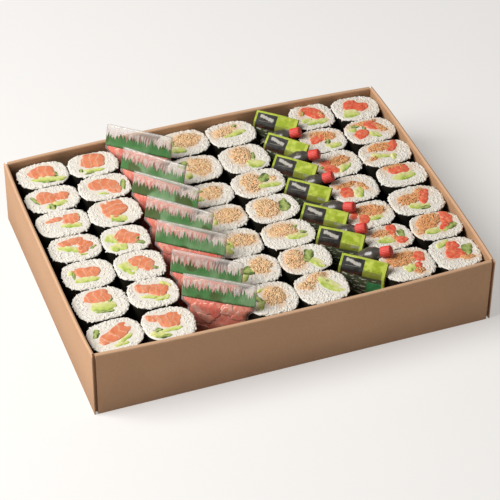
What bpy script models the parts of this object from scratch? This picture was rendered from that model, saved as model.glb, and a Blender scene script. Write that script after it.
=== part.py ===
"""A party tray of cut sushi rolls with packets of ginger, wasabi and soy sauce.

The tray is an open box of corrugated board. Forty-two rolls stand in it on their cut ends, in six
columns (A to F, left to right) of seven rows (1 to 7, back to front). Between columns B and C stand
seven packets of ginger, and between D and E seven packets of wasabi, six of them with a small fish
bottle of soy sauce lying in front. The origin is the middle of the tray's underside, X runs along
the tray, Y to its back and Z up. All lengths are in metres.
"""
import math
import random

import bmesh
import bpy
from mathutils import Vector

MM = 0.001

# Tray
TRAY_LENGTH = 440 * MM
TRAY_WIDTH = 335 * MM
TRAY_HEIGHT = 80 * MM
WALL = 5 * MM
SIDE_WALL = 4 * MM
FLOOR = 3 * MM
RIM_ROUNDING = 1.9 * MM
LONG_BOW = 6 * MM
SIDE_BOW = 2.5 * MM
BOW_STEPS = 12
SLIT_WIDTH = 3 * MM
SLIT_DEPTH = 4 * MM
SLIT_INSET = 1 * MM

# Rolls
GAP = 0.3 * MM
ROLL_SIDES = 20
OUTLINE_POWER = 2.7
NORI_EDGE = 0.4 * MM
RICE_RISE = 1.3 * MM
FILLING_RISE = 2.2 * MM
RICE_BUMP = 0.5 * MM

# Each column: kind of filling, height of the nori's edge, and the seven rolls' left, right, front
# and back, in millimetres.
COLUMNS = {
    "a": ("salmon_roll", 70.5, (
        (-211.5, -154.8, 119.3, 162.3), (-213.8, -155.0, 75.6, 118.9), (-214.0, -157.0, 31.0, 75.2),
        (-213.0, -157.2, -11.9, 30.6), (-211.5, -156.8, -58.6, -12.7),
        (-214.0, -157.2, -109.8, -60.5), (-214.0, -157.2, -158.5, -111.2))),
    "b": ("salmon_roll", 70.5, (
        (-153.5, -97.4, 120.2, 162.5), (-154.2, -96.4, 76.2, 119.8), (-156.2, -98.8, 30.0, 75.8),
        (-156.0, -104.5, -16.0, 29.4), (-155.6, -102.8, -63.0, -17.0),
        (-156.6, -103.5, -110.0, -64.2), (-156.6, -102.0, -160.5, -112.2))),
    "c": ("chicken_roll", 71.0, (
        (-48.0, 9.8, 121.5, 167.0), (-51.5, 8.0, 71.0, 118.0), (-51.0, 5.0, 26.6, 66.5),
        (-50.0, 5.4, -17.6, 25.4), (-49.0, 5.6, -64.4, -18.2), (-46.4, 8.8, -110.8, -65.4),
        (-46.4, 8.8, -161.0, -111.6))),
    "d": ("chicken_roll", 71.0, (
        (10.5, 67.2, 122.6, 167.0), (8.9, 64.4, 72.0, 120.6), (5.8, 65.2, 25.0, 70.6),
        (6.6, 63.8, -20.6, 24.2), (6.4, 64.4, -65.8, -21.2), (9.4, 65.4, -111.4, -66.4),
        (9.4, 65.4, -161.0, -112.0))),
    "e": ("crab_roll", 71.0, (
        (111.0, 161.2, 120.8, 167.0), (106.0, 158.0, 76.8, 120.2), (104.4, 157.6, 30.0, 76.2),
        (104.4, 158.2, -18.8, 26.4), (103.6, 156.8, -63.8, -20.2), (108.4, 160.6, -105.6, -64.4),
        (106.0, 163.6, -158.5, -108.4))),
    "f": ("crab_roll", 71.5, (
        (162.0, 216.0, 118.6, 163.0), (158.7, 217.0, 73.6, 118.0), (158.3, 217.4, 29.4, 73.0),
        (162.0, 217.6, -11.2, 29.0), (157.6, 217.6, -61.5, -12.8), (161.4, 217.6, -106.5, -62.2),
        (164.4, 217.0, -157.5, -107.2))),
}

# Rings of a roll's top, from its edge inwards, are this far apart on the unit circle.
RING_STEP = 0.2
RICE_MARGIN = 1.2 * MM

# Each filling: middle (X, Y) and half sizes (X, Y) of its patch on the cut face, in millimetres.
FILLINGS = {
    "salmon_roll": (0, 0.5, 17, 10.5),
    "chicken_roll": (0, 0, 18, 10.5),
    "crab_roll": (0, -0.5, 18, 11),
}

# Packets: crease height is where they dip between the rolls.
CREASE = 73 * MM
GINGER_X = -75 * MM
GINGER_WIDTH = 78 * MM
GINGER_LOW_WIDTH = 64 * MM
GINGER_ABOVE = 31 * MM
GINGER_BELOW = 40 * MM
GINGER_LEAN = 18
GINGER_THICK = 8 * MM
GINGER_FIRST = 141.7 * MM
GINGER_PITCH = 45.9 * MM
GINGER_TURNS = (-39, -46, -43, -43, -38, -37, -34)
GINGER_SHIFTS = (-5, -8, -6, -5, 0, -5, 2)
WASABI_WIDTH = 52 * MM
WASABI_LOW_WIDTH = 52 * MM
WASABI_ABOVE = 16 * MM
WASABI_BELOW = 38 * MM
WASABI_LEAN = 50
WASABI_THICK = 4 * MM
WASABI_TURNS = (-42, -47, -44, -41, -40, -38, -40)
WASABI_PLACES = ((87, 136), (82, 91), (77, 51), (76, 7), (77, -39), (79, -81), (84, -131))
THIN_SHARE = 0.3

# Fish bottles: how far each cap stands past its packet's middle, in front of it and over the
# tray's underside, the turn of the bottle from the packet's line and its slope down to the tail.
FISH = (
    (28.0, 5.0, 78.0, 12, 24), (37.5, 0.5, 82.5, 14, 24), (42.5, 1.0, 82.0, 18, 26),
    (51.2, 5.5, 78.0, 0, 18), (44.3, 3.7, 79.0, 8, 22), (52.0, 2.8, 80.2, 3, 25),
)
FISH_CAP_MIDDLE = 6 * MM
FISH_SIDES = 10

# Each section of a fish bottle: distance from the cap's end, half width and half thickness.
FISH_SECTIONS = (
    (0, 5.0, 5.0), (1, 5.9, 5.9), (11.5, 5.9, 5.9), (12.3, 4.6, 4.6), (14, 5.2, 5.0),
    (19, 8.2, 6.9), (27, 9.2, 7.7), (35, 7.2, 5.8), (42, 3.0, 2.6), (49, 6.0, 1.4),
)

# Colour and roughness of each material.
LOOKS = {
    "kraft_board": ((0.56, 0.36, 0.22), 0.85),
    "salmon_roll": ((0.85, 0.50, 0.38), 0.6),
    "chicken_roll": ((0.80, 0.66, 0.50), 0.6),
    "crab_roll": ((0.80, 0.55, 0.42), 0.6),
    "ginger_film": ((0.80, 0.45, 0.38), 0.3),
    "wasabi_foil": ((0.45, 0.50, 0.12), 0.35),
    "soy_bottle": ((0.08, 0.05, 0.04), 0.25),
    "cutter": ((1.0, 0.0, 0.0), 0.5),
}


def clear_scene():
    """Removes every object of the open file."""
    for obj in list(bpy.data.objects):
        bpy.data.objects.remove(obj, do_unlink=True)


def new_collection(name):
    """Adds a collection to the scene."""
    collection = bpy.data.collections.new(name)
    bpy.context.scene.collection.children.link(collection)
    return collection


def material(name):
    """The Principled material of that name, made when it is first asked for."""
    mat = bpy.data.materials.get(name)
    if mat is None:
        colour, roughness = LOOKS[name]
        mat = bpy.data.materials.new(name)
        mat.use_nodes = True
        shader = mat.node_tree.nodes["Principled BSDF"]
        shader.inputs["Base Color"].default_value = (*colour, 1)
        shader.inputs["Roughness"].default_value = roughness
        shader.inputs["Metallic"].default_value = 0
        mat.diffuse_color = (*colour, 1)
    return mat


def add_object(name, bm, look, collection, smooth=40):
    """Turns a bmesh into a named object, shaded smooth below the given angle in degrees."""
    mesh = bpy.data.meshes.new(name)
    bmesh.ops.recalc_face_normals(bm, faces=bm.faces)
    bm.to_mesh(mesh)
    bm.free()
    mesh.shade_smooth()
    mesh.set_sharp_from_angle(angle=math.radians(smooth))
    mesh.materials.append(material(look))
    obj = bpy.data.objects.new(name, mesh)
    collection.objects.link(obj)
    return obj


def long_bow(x, z):
    """How far the front and back walls lean out: a parabola along the wall, more with height."""
    return LONG_BOW * (1 - (2 * x / TRAY_LENGTH) ** 2) * max(z, 0) / TRAY_HEIGHT


def side_bow(y, z):
    """How far the side walls lean out: a flatter curve along the wall, more with height."""
    return SIDE_BOW * (1 - (2 * y / TRAY_WIDTH) ** 4) * max(z, 0) / TRAY_HEIGHT


def rim_edges(bm):
    """The long edges of the rim's outer and inner corners."""
    def on_rim(edge):
        a, b = edge.verts
        if min(a.co.z, b.co.z) < TRAY_HEIGHT - MM * 0.01:
            return False
        return edge.calc_face_angle(0) > math.radians(60)

    return [edge for edge in bm.edges if on_rim(edge)]


def slit_cutter(collection):
    """Four upright slots where the long walls meet the ends of the short ones."""
    bm = bmesh.new()
    x = TRAY_LENGTH / 2 - SLIT_INSET - SLIT_WIDTH / 2
    for side_x in (-1, 1):
        for side_y in (-1, 1):
            made = bmesh.ops.create_cube(bm, size=1)["verts"]
            bmesh.ops.scale(bm, vec=(SLIT_WIDTH, SLIT_DEPTH * 2, TRAY_HEIGHT * 1.2), verts=made)
            place = (side_x * x, side_y * TRAY_WIDTH / 2, TRAY_HEIGHT / 2)
            bmesh.ops.translate(bm, vec=place, verts=made)
    cutter = add_object("corner_slits", bm, "cutter", collection)
    cutter.display_type = "WIRE"
    cutter.hide_render = True
    return cutter


def make_tray(parts, cutters):
    """The open box: a block hollowed from above, its rim rounded and its walls bowed outwards."""
    bm = bmesh.new()
    block = bmesh.ops.create_cube(bm, size=1)["verts"]
    bmesh.ops.scale(bm, vec=(TRAY_LENGTH, TRAY_WIDTH, TRAY_HEIGHT), verts=block)
    bmesh.ops.translate(bm, vec=(0, 0, TRAY_HEIGHT / 2), verts=block)
    for axis in (0, 1):
        edges = [e for e in bm.edges if abs(e.verts[0].co[axis] - e.verts[1].co[axis]) > WALL * 2]
        bmesh.ops.subdivide_edges(bm, edges=edges, cuts=BOW_STEPS - 1, use_grid_fill=True)
    top = [f for f in bm.faces if f.normal.z > 0.9]
    bmesh.ops.inset_region(bm, faces=top, thickness=WALL, use_even_offset=True)
    top = [f for f in top if f.is_valid]
    for vert in {v for face in top for v in face.verts}:
        if abs(vert.co.x) > TRAY_LENGTH / 2 - WALL - GAP:
            vert.co.x = math.copysign(TRAY_LENGTH / 2 - SIDE_WALL, vert.co.x)
    hollow = bmesh.ops.extrude_face_region(bm, geom=top)["geom"]
    bmesh.ops.delete(bm, geom=top, context="FACES")
    sunk = [v for v in hollow if isinstance(v, bmesh.types.BMVert)]
    bmesh.ops.translate(bm, vec=(0, 0, FLOOR - TRAY_HEIGHT), verts=sunk)
    bmesh.ops.bevel(bm, geom=rim_edges(bm), offset=RIM_ROUNDING, segments=2, profile=0.5,
                    affect="EDGES")
    for vert in bm.verts:
        out_x = side_bow(vert.co.y, vert.co.z) if abs(vert.co.x) > TRAY_LENGTH * 0.48 else 0
        out_y = long_bow(vert.co.x, vert.co.z) if abs(vert.co.y) > TRAY_WIDTH * 0.48 else 0
        vert.co.x += math.copysign(out_x, vert.co.x)
        vert.co.y += math.copysign(out_y, vert.co.y)
    tray = add_object("tray", bm, "kraft_board", parts)
    cut = tray.modifiers.new("corner slits", "BOOLEAN")
    cut.operation = "DIFFERENCE"
    cut.solver = "EXACT"
    cut.object = slit_cutter(cutters)


def superellipse(angle, half_x, half_y, power):
    """Distance from the middle to a superellipse in the direction of angle."""
    across = (abs(math.cos(angle)) / half_x) ** power
    up = (abs(math.sin(angle)) / half_y) ** power
    return (across + up) ** (-1 / power)


def within(value, low, high):
    """The value, held between two limits."""
    return min(max(value, low), high)


def make_roll(letter, row, parts):
    """One cut roll: an upright uneven prism whose top is crowned with bumpy rice and filling.

    It fills its box from the table, with the corners well rounded, and the walls hold it in.
    """
    kind, height, boxes = COLUMNS[letter]
    draw = random.Random(f"{letter}{row}")
    left, right, front, back = (value * MM for value in boxes[row])
    middle = Vector(((left + right) / 2, (front + back) / 2))
    turn = math.radians(draw.uniform(-5, 5))
    half_x = (right - left) / 2 * draw.uniform(1.0, 1.02)
    half_y = (back - front) / 2 * draw.uniform(1.0, 1.02)
    waves = [(k, draw.uniform(-0.015, 0.015), draw.uniform(0, math.tau)) for k in (2, 3, 5)]
    top = (height + draw.uniform(-1, 1)) * MM
    fill_x, fill_y, fill_half_x, fill_half_y = (value * MM for value in FILLINGS[kind])

    def edge(angle, shrink, height):
        """A point of the roll's side, kept inside its box and the tray's walls."""
        reach = superellipse(angle, half_x, half_y, OUTLINE_POWER)
        reach *= 1 + sum(size * math.cos(k * angle + phase) for k, size, phase in waves)
        x = middle.x + (reach - shrink) * math.cos(angle + turn)
        y = middle.y + (reach - shrink) * math.sin(angle + turn)
        x = within(x, left + shrink, right - shrink)
        y = within(y, front + shrink, back - shrink)
        room_x = TRAY_LENGTH / 2 - SIDE_WALL - GAP - shrink + side_bow(y, height)
        room_y = TRAY_WIDTH / 2 - WALL - GAP - shrink + long_bow(x, height)
        return Vector((within(x, -room_x, room_x), within(y, -room_y, room_y)))

    def patch(angle):
        """A point of the filling's outline."""
        reach = superellipse(angle, fill_half_x, fill_half_y, 2.2) * draw.uniform(0.92, 1.06)
        x = middle.x + fill_x + reach * math.cos(angle + turn)
        y = middle.y + fill_y + reach * math.sin(angle + turn)
        return Vector((x, y))

    bm = bmesh.new()
    bmesh.ops.create_cone(bm, cap_ends=True, segments=ROLL_SIDES, radius1=1, radius2=1, depth=2)
    cap = next(f for f in bm.faces if f.normal.z > 0.9)
    for _ in range(3):
        bmesh.ops.inset_individual(bm, faces=[cap], thickness=RING_STEP)
    bmesh.ops.poke(bm, faces=[cap])
    for vert in bm.verts:
        angle = math.atan2(vert.co.y, vert.co.x)
        ring = round((1 - vert.co.xy.length) / RING_STEP)
        if vert.co.z < 0:
            spot, z = edge(angle, 0, 0), FLOOR + GAP
        elif ring == 0:
            spot, z = edge(angle, 0, top), top
        elif ring == 1:
            spot, z = edge(angle, RICE_MARGIN, top), top + NORI_EDGE
        elif ring == 2:
            spot = edge(angle, 0, top).lerp(patch(angle), 0.5)
            z = top + RICE_RISE + draw.uniform(-1, 1) * RICE_BUMP
        elif ring == 3:
            spot, z = patch(angle), top + RICE_RISE
        else:
            spot = middle + Vector((fill_x, fill_y))
            z = top + FILLING_RISE
        vert.co = (spot.x, spot.y, z)
    add_object(f"{kind}_{letter}{row + 1}", bm, kind, parts, smooth=30)


def make_card(name, look, place, turn, lean, size, parts, columns=6, rows=6):
    """A flat packet that leans back above the crease and hangs straight down below it.

    The packet is a grid that Solidify makes thick, thinnest along its sealed edges and top.
    size holds the width above and below the crease, the lengths above and below, and thickness.
    """
    width, low_width, above, below, thick = size
    along = Vector((math.cos(math.radians(turn)), math.sin(math.radians(turn)), 0))
    front = Vector((along.y, -along.x, 0))
    tilt = math.radians(lean)
    back_up = -front * math.sin(tilt) + Vector((0, 0, math.cos(tilt)))
    foot = Vector((place[0], place[1], CREASE))
    bm = bmesh.new()
    bmesh.ops.create_grid(bm, x_segments=columns, y_segments=rows, size=1)
    weights = []
    for vert in bm.verts:
        u, v = vert.co.x, vert.co.y
        rise = v * above if v > 0 else v * below
        full = low_width + (width - low_width) * min(max((rise + 4 * MM) / (6 * MM), 0), 1)
        spot = foot + along * (u * full / 2)
        spot += back_up * rise if rise > 0 else Vector((0, 0, rise))
        vert.co = spot
        plump = (1 - u ** 2) * (1 - v ** 2) if v <= 0 else (1 - u ** 2) * max(1 - v * 2.5, 0)
        weights.append(THIN_SHARE + (1 - THIN_SHARE) * plump)
    bm.verts.ensure_lookup_table()
    card = add_object(name, bm, look, parts)
    group = card.vertex_groups.new(name="plump")
    for index, weight in enumerate(weights):
        group.add([index], weight, "REPLACE")
    solid = card.modifiers.new("packet", "SOLIDIFY")
    solid.thickness = thick
    solid.offset = 0
    solid.vertex_group = group.name
    return card


def make_fish(index, collection):
    """A soy sauce fish bottle: oval sections carried along a sloping line from cap to tail."""
    past, before, height, turned, sloping = FISH[index]
    packet = math.radians(WASABI_TURNS[index])
    along = Vector((math.cos(packet), math.sin(packet), 0))
    front = Vector((along.y, -along.x, 0))
    turn = packet + math.pi + math.radians(turned)
    slope = math.radians(sloping)
    heading = Vector((math.cos(turn) * math.cos(slope), math.sin(turn) * math.cos(slope),
                      -math.sin(slope)))
    side = heading.cross(Vector((0, 0, 1))).normalized()
    upward = side.cross(heading)
    place = WASABI_PLACES[index]
    cap = Vector((place[0] * MM, place[1] * MM, height * MM))
    cap += (along * past + front * before) * MM
    verts, faces = [], []
    for distance, half_width, half_thick in FISH_SECTIONS:
        for step in range(FISH_SIDES):
            angle = math.tau * step / FISH_SIDES
            spot = cap + heading * (distance * MM - FISH_CAP_MIDDLE)
            spot += side * half_width * MM * math.cos(angle)
            spot += upward * half_thick * MM * math.sin(angle)
            verts.append(spot)
    for ring in range(len(FISH_SECTIONS) - 1):
        for step in range(FISH_SIDES):
            near = ring * FISH_SIDES
            after = (step + 1) % FISH_SIDES
            faces.append((near + step, near + after, near + FISH_SIDES + after,
                          near + FISH_SIDES + step))
    faces.append(tuple(range(FISH_SIDES)))
    faces.append(tuple(len(verts) - 1 - step for step in range(FISH_SIDES)))
    mesh = bpy.data.meshes.new("fish")
    mesh.from_pydata(verts, [], faces)
    bm = bmesh.new()
    bm.from_mesh(mesh)
    bpy.data.meshes.remove(mesh)
    return add_object(f"fish_{index + 1}", bm, "soy_bottle", collection)


def fuse(card, extra):
    """Joins a second closed shape to a packet, with the packet's thickness applied first."""
    union = card.modifiers.new("fish", "BOOLEAN")
    union.operation = "UNION"
    union.solver = "EXACT"
    union.object = extra
    extra.display_type = "WIRE"
    extra.hide_render = True


def make_ginger(parts):
    """The seven ginger packets, each from the gap behind its roll of B to the gap before C's."""
    size = (GINGER_WIDTH, GINGER_LOW_WIDTH, GINGER_ABOVE, GINGER_BELOW, GINGER_THICK)
    for row in range(7):
        y = GINGER_FIRST - GINGER_PITCH * row + GINGER_SHIFTS[row] * MM
        name = f"ginger_packet_{row + 1}"
        make_card(name, "ginger_film", (GINGER_X, y), GINGER_TURNS[row], GINGER_LEAN, size, parts)


def make_wasabi(parts, helpers):
    """The seven wasabi packets, the first six with a soy sauce fish in front."""
    size = (WASABI_WIDTH, WASABI_LOW_WIDTH, WASABI_ABOVE, WASABI_BELOW, WASABI_THICK)
    for row in range(7):
        place = (WASABI_PLACES[row][0] * MM, WASABI_PLACES[row][1] * MM)
        name = f"wasabi_packet_{row + 1}"
        card = make_card(name, "wasabi_foil", place, WASABI_TURNS[row], WASABI_LEAN, size, parts,
                         columns=5, rows=5)
        if row < len(FISH):
            fuse(card, make_fish(row, helpers))


def main():
    """Builds the tray, the rolls and the packets."""
    clear_scene()
    parts = new_collection("sushi_party_tray")
    cutters = new_collection("helpers")
    make_tray(parts, cutters)
    for letter in COLUMNS:
        for row in range(7):
            make_roll(letter, row, parts)
    make_ginger(parts)
    make_wasabi(parts, cutters)


main()
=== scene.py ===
"""The looks of a sushi party tray: cut rolls, ginger and wasabi packets and soy sauce fish.

Sizes are in millimetres until a surface becomes a mesh. Each class is one sub-assembly of the
tray, each finish is a small class that makes one material, and main builds them in order.
"""

import logging
import math
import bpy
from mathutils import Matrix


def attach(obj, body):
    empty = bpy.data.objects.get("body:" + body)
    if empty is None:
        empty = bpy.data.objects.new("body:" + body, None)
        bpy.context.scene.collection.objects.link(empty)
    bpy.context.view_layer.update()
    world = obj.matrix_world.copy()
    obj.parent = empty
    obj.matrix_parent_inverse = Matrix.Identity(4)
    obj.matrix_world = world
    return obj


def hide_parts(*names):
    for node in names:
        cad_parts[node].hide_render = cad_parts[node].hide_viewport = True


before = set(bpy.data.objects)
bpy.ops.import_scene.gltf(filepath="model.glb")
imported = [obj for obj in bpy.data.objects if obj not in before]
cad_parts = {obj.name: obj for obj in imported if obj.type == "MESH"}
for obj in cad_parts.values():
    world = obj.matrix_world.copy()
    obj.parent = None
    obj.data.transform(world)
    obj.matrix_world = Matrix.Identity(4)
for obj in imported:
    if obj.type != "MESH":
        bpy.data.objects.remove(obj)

import zlib
from dataclasses import dataclass, field
from enum import Enum
from typing import Any

import bpy
import numpy as np
from mathutils import Matrix, Vector

log = logging.getLogger("sushi_tray")

MM = 0.001
UP = (0, 0, 1.0)
Array = np.ndarray
Colour = tuple[float, float, float, float]
Finishes = dict[str, bpy.types.Material]


def seen(red: float, green: float, blue: float) -> Colour:
    """Turns a colour as it looks in the photograph, 0 to 255, into what a surface reflects.

    The linear channels are divided by 1.2, the light that falls on a face turned upwards.

    Args:
        red, green, blue: The channels as they look on a screen.

    Returns:
        The linear channels with an alpha of 1.
    """
    return tuple(((c / 255 + 0.055) / 1.055) ** 2.4 / 1.2 for c in (red, green, blue)) + (1.0,)


def draws(name: str) -> np.random.Generator:
    """Returns the random numbers that belong to one piece, the same in every run."""
    return np.random.default_rng(zlib.crc32(name.encode()))


def patches(x: Array, y: Array, seed: int = 0) -> Array:
    """Smooth noise from -1 to 1: random values on a unit lattice, blended by s * s * (3 - 2s).

    Args:
        x, y: Where to read it, in lattice steps.
        seed: Which lattice.

    Returns:
        The noise at each place.
    """
    table = np.random.default_rng(seed).uniform(-1, 1, (64, 64))
    column, row = np.floor(x).astype(int), np.floor(y).astype(int)
    fx, fy = x - column, y - row
    fx, fy = fx * fx * (3 - 2 * fx), fy * fy * (3 - 2 * fy)
    near = table[column % 64, row % 64] * (1 - fx) + table[(column + 1) % 64, row % 64] * fx
    far = table[column % 64, (row + 1) % 64] * (1 - fx)
    far = far + table[(column + 1) % 64, (row + 1) % 64] * fx
    return near * (1 - fy) + far * fy


def smoothstep(value: Array, low: float, high: float) -> Array:
    """Rises from 0 at low to 1 at high along s * s * (3 - 2s)."""
    share = np.clip((value - low) / (high - low), 0, 1)
    return share * share * (3 - 2 * share)


def circle(count: int) -> Array:
    """Angles spread evenly round a turn."""
    return np.linspace(0, math.tau, count, endpoint=False)


def turned(x: Array, y: Array, degrees: float) -> tuple[Array, Array]:
    """Places turned about the origin, from x towards y."""
    c, s = math.cos(math.radians(degrees)), math.sin(math.radians(degrees))
    return x * c - y * s, x * s + y * c


def xyz(x: Array, y: Array, z: Array | float) -> Array:
    """Points or directions from their three numbers."""
    return np.stack(np.broadcast_arrays(x, y, z), -1)


def both_faces(columns: int, reach: float = 1.0) -> tuple[Array, Array]:
    """A loop round a flat sheet, along its front and then back.

    Args:
        columns: How many points lie along the front.
        reach: Where its side edges are.

    Returns:
        Each point's place across, and its side: 1 in front, -1 behind and 0 on the edges.
    """
    across = np.linspace(-reach, reach, columns)
    face = np.concatenate([np.ones(columns), -np.ones(columns - 2)])
    face[[0, columns - 1]] = 0
    return np.concatenate([across, across[-2:0:-1]]), face


@dataclass
class Surface:
    """Points and faces on their way to a mesh, with a UV place and a tone for each point.

    Attributes:
        points: Places in millimetres, one row each.
        quads, tris: Faces as rows of point numbers, wound to face outwards.
        uv: Where each point lies on the piece's own map.
        tone: One number a point, which a finish may read as the attribute tone.
    """

    points: Array
    quads: Array
    tris: Array
    uv: Array
    tone: Array

    @classmethod
    def grid(cls, points: Array, wrap: bool = False, closed: bool = False,
             uv: Array | None = None, tone: Array | float = 0.0) -> "Surface":
        """A net of points, rows by columns, as quads between neighbours.

        Args:
            points: Rows by columns by 3.
            wrap: The last column joins the first, as round a tube.
            closed: The first and last rows each close on their middle point.
            uv: Rows by columns by 2, or None for the shares along columns and rows.
            tone: One number a point, or one for all.

        Returns:
            The surface; it faces outwards where columns cross rows outwards.
        """
        rows, columns = points.shape[:2]
        if uv is None:
            uv = np.stack(np.meshgrid(np.linspace(0, 1, columns), np.linspace(0, 1, rows)), -1)
        tone = np.broadcast_to(np.asarray(tone, float), (rows, columns))
        number = np.arange(rows * columns).reshape(rows, columns)
        here, there = number, np.roll(number, -1, axis=1)
        if not wrap:
            here, there = here[:, :-1], there[:, :-1]
        quads = np.stack([here[:-1], there[:-1], there[1:], here[1:]], -1).reshape(-1, 4)
        flat, flat_uv, flat_tone = points.reshape(-1, 3), uv.reshape(-1, 2), tone.ravel()
        tris = np.zeros((0, 3), int)
        if closed:
            ends = [points[0].mean(0), points[-1].mean(0)]
            flat = np.vstack([flat, ends])
            flat_uv = np.vstack([flat_uv, uv[0].mean(0), uv[-1].mean(0)])
            flat_tone = np.append(flat_tone, [tone[0].mean(), tone[-1].mean()])
            first, last = np.full(columns, rows * columns), np.full(columns, rows * columns + 1)
            tris = np.vstack([
                np.stack([first, np.roll(number[0], -1), number[0]], -1),
                np.stack([last, number[-1], np.roll(number[-1], -1)], -1)])
        return cls(flat, quads, tris, flat_uv, flat_tone)

    @classmethod
    def tubes(cls, rings: Array, start: Array, end: Array, tone: Array) -> "Surface":
        """Many closed tubes at once, such as grains or shreds.

        Args:
            rings: Tubes by rings by sides by 3, each ring turning about the tube's heading.
            start, end: Tubes by 3, the points that close each tube.
            tone: One number a tube.

        Returns:
            All the tubes as one surface.
        """
        count, steps, sides = rings.shape[:3]
        base = np.arange(count)[:, None, None] * steps * sides
        base = base + np.arange(steps - 1)[None, :, None] * sides
        side, after = np.arange(sides), (np.arange(sides) + 1) % sides
        quads = np.stack(np.broadcast_arrays(
            base + side, base + after, base + sides + after, base + sides + side), -1)
        first = np.arange(count)[:, None] * steps * sides
        last = first + (steps - 1) * sides
        pole = count * steps * sides + np.arange(count)[:, None]
        tris = np.concatenate([
            np.stack(np.broadcast_arrays(pole, first + after, first + side), -1),
            np.stack(np.broadcast_arrays(pole + count, last + side, last + after), -1)])
        points = np.concatenate([rings.reshape(-1, 3), start, end])
        tones = np.concatenate([np.repeat(tone, steps * sides), tone, tone])
        return cls(points, quads.reshape(-1, 4), tris.reshape(-1, 3),
                   np.zeros((len(points), 2)), tones)

    @classmethod
    def joined(cls, parts: list["Surface"]) -> "Surface":
        """Several surfaces as one, with each one's point numbers moved past those before it.

        Args:
            parts: The surfaces in order.

        Returns:
            One surface that holds them all.
        """
        shift = np.cumsum([0] + [len(p.points) for p in parts])
        return cls(np.concatenate([p.points for p in parts]),
                   np.concatenate([p.quads + s for p, s in zip(parts, shift)]),
                   np.concatenate([p.tris + s for p, s in zip(parts, shift)]),
                   np.concatenate([p.uv for p in parts]),
                   np.concatenate([p.tone for p in parts]))

    def to_object(self, name: str, material: bpy.types.Material) -> bpy.types.Object:
        """Makes the mesh and its object, smooth shaded, with its UV map and tone.

        Args:
            name: The object's name.
            material: Its finish.

        Returns:
            The new object, linked to the scene, with its place in its mesh.
        """
        mesh = bpy.data.meshes.new(name)
        mesh.from_pydata((self.points * MM).tolist(), [], self.quads.tolist() + self.tris.tolist())
        mesh.shade_smooth()
        corners = np.zeros(len(mesh.loops), np.int32)
        mesh.loops.foreach_get("vertex_index", corners)
        layer = mesh.uv_layers.new(name="UVMap")
        layer.uv.foreach_set("vector", self.uv[corners].astype(np.float32).ravel())
        tone = mesh.attributes.new("tone", "FLOAT", "POINT")
        tone.data.foreach_set("value", self.tone.astype(np.float32))
        mesh.materials.append(material)
        piece = bpy.data.objects.new(name, mesh)
        bpy.context.scene.collection.objects.link(piece)
        return piece

    def install(self, name: str, material: bpy.types.Material, slot: str, node: str) -> None:
        """Makes a finished piece of the tray.

        Args:
            name: The piece's name.
            material: Its finish.
            slot: Not used.
            node: The solid that it stands for, alone or with other pieces.
        """
        piece = self.to_object(name, material)
        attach(piece, "root")
        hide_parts(node)
        log.info("%s: %d faces", piece.name, len(piece.data.polygons))


class Wire:
    """A socket of a material's nodes; arithmetic on it adds Math nodes."""

    def __init__(self, look: "Look", socket: bpy.types.NodeSocket) -> None:
        """Keeps the socket and the material that it belongs to."""
        self.look = look
        self.socket = socket

    def __add__(self, other: Any) -> "Wire":
        """This plus other."""
        return self.look.math("ADD", self, other)

    def __sub__(self, other: Any) -> "Wire":
        """This minus other."""
        return self.look.math("SUBTRACT", self, other)

    def __rsub__(self, other: Any) -> "Wire":
        """Other minus this."""
        return self.look.math("SUBTRACT", other, self)

    def __mul__(self, other: Any) -> "Wire":
        """This times other."""
        return self.look.math("MULTIPLY", self, other)

    __radd__ = __add__
    __rmul__ = __mul__

    def step(self, low: float, high: float) -> "Wire":
        """Rises smoothly from 0 at low to 1 at high, or falls where low is the larger."""
        return self.look.node("ShaderNodeMapRange", {"interpolation_type": "SMOOTHSTEP"},
                              {"Value": self, "From Min": low, "From Max": high})

    def band(self, start: float, full: float, fall: float, end: float) -> "Wire":
        """Rises from 0 at start to 1 at full, and falls from 1 at fall to 0 at end."""
        return self.step(start, full) * self.step(end, fall)

    def size(self) -> "Wire":
        """Its distance from 0."""
        return self.look.math("ABSOLUTE", self)


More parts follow.
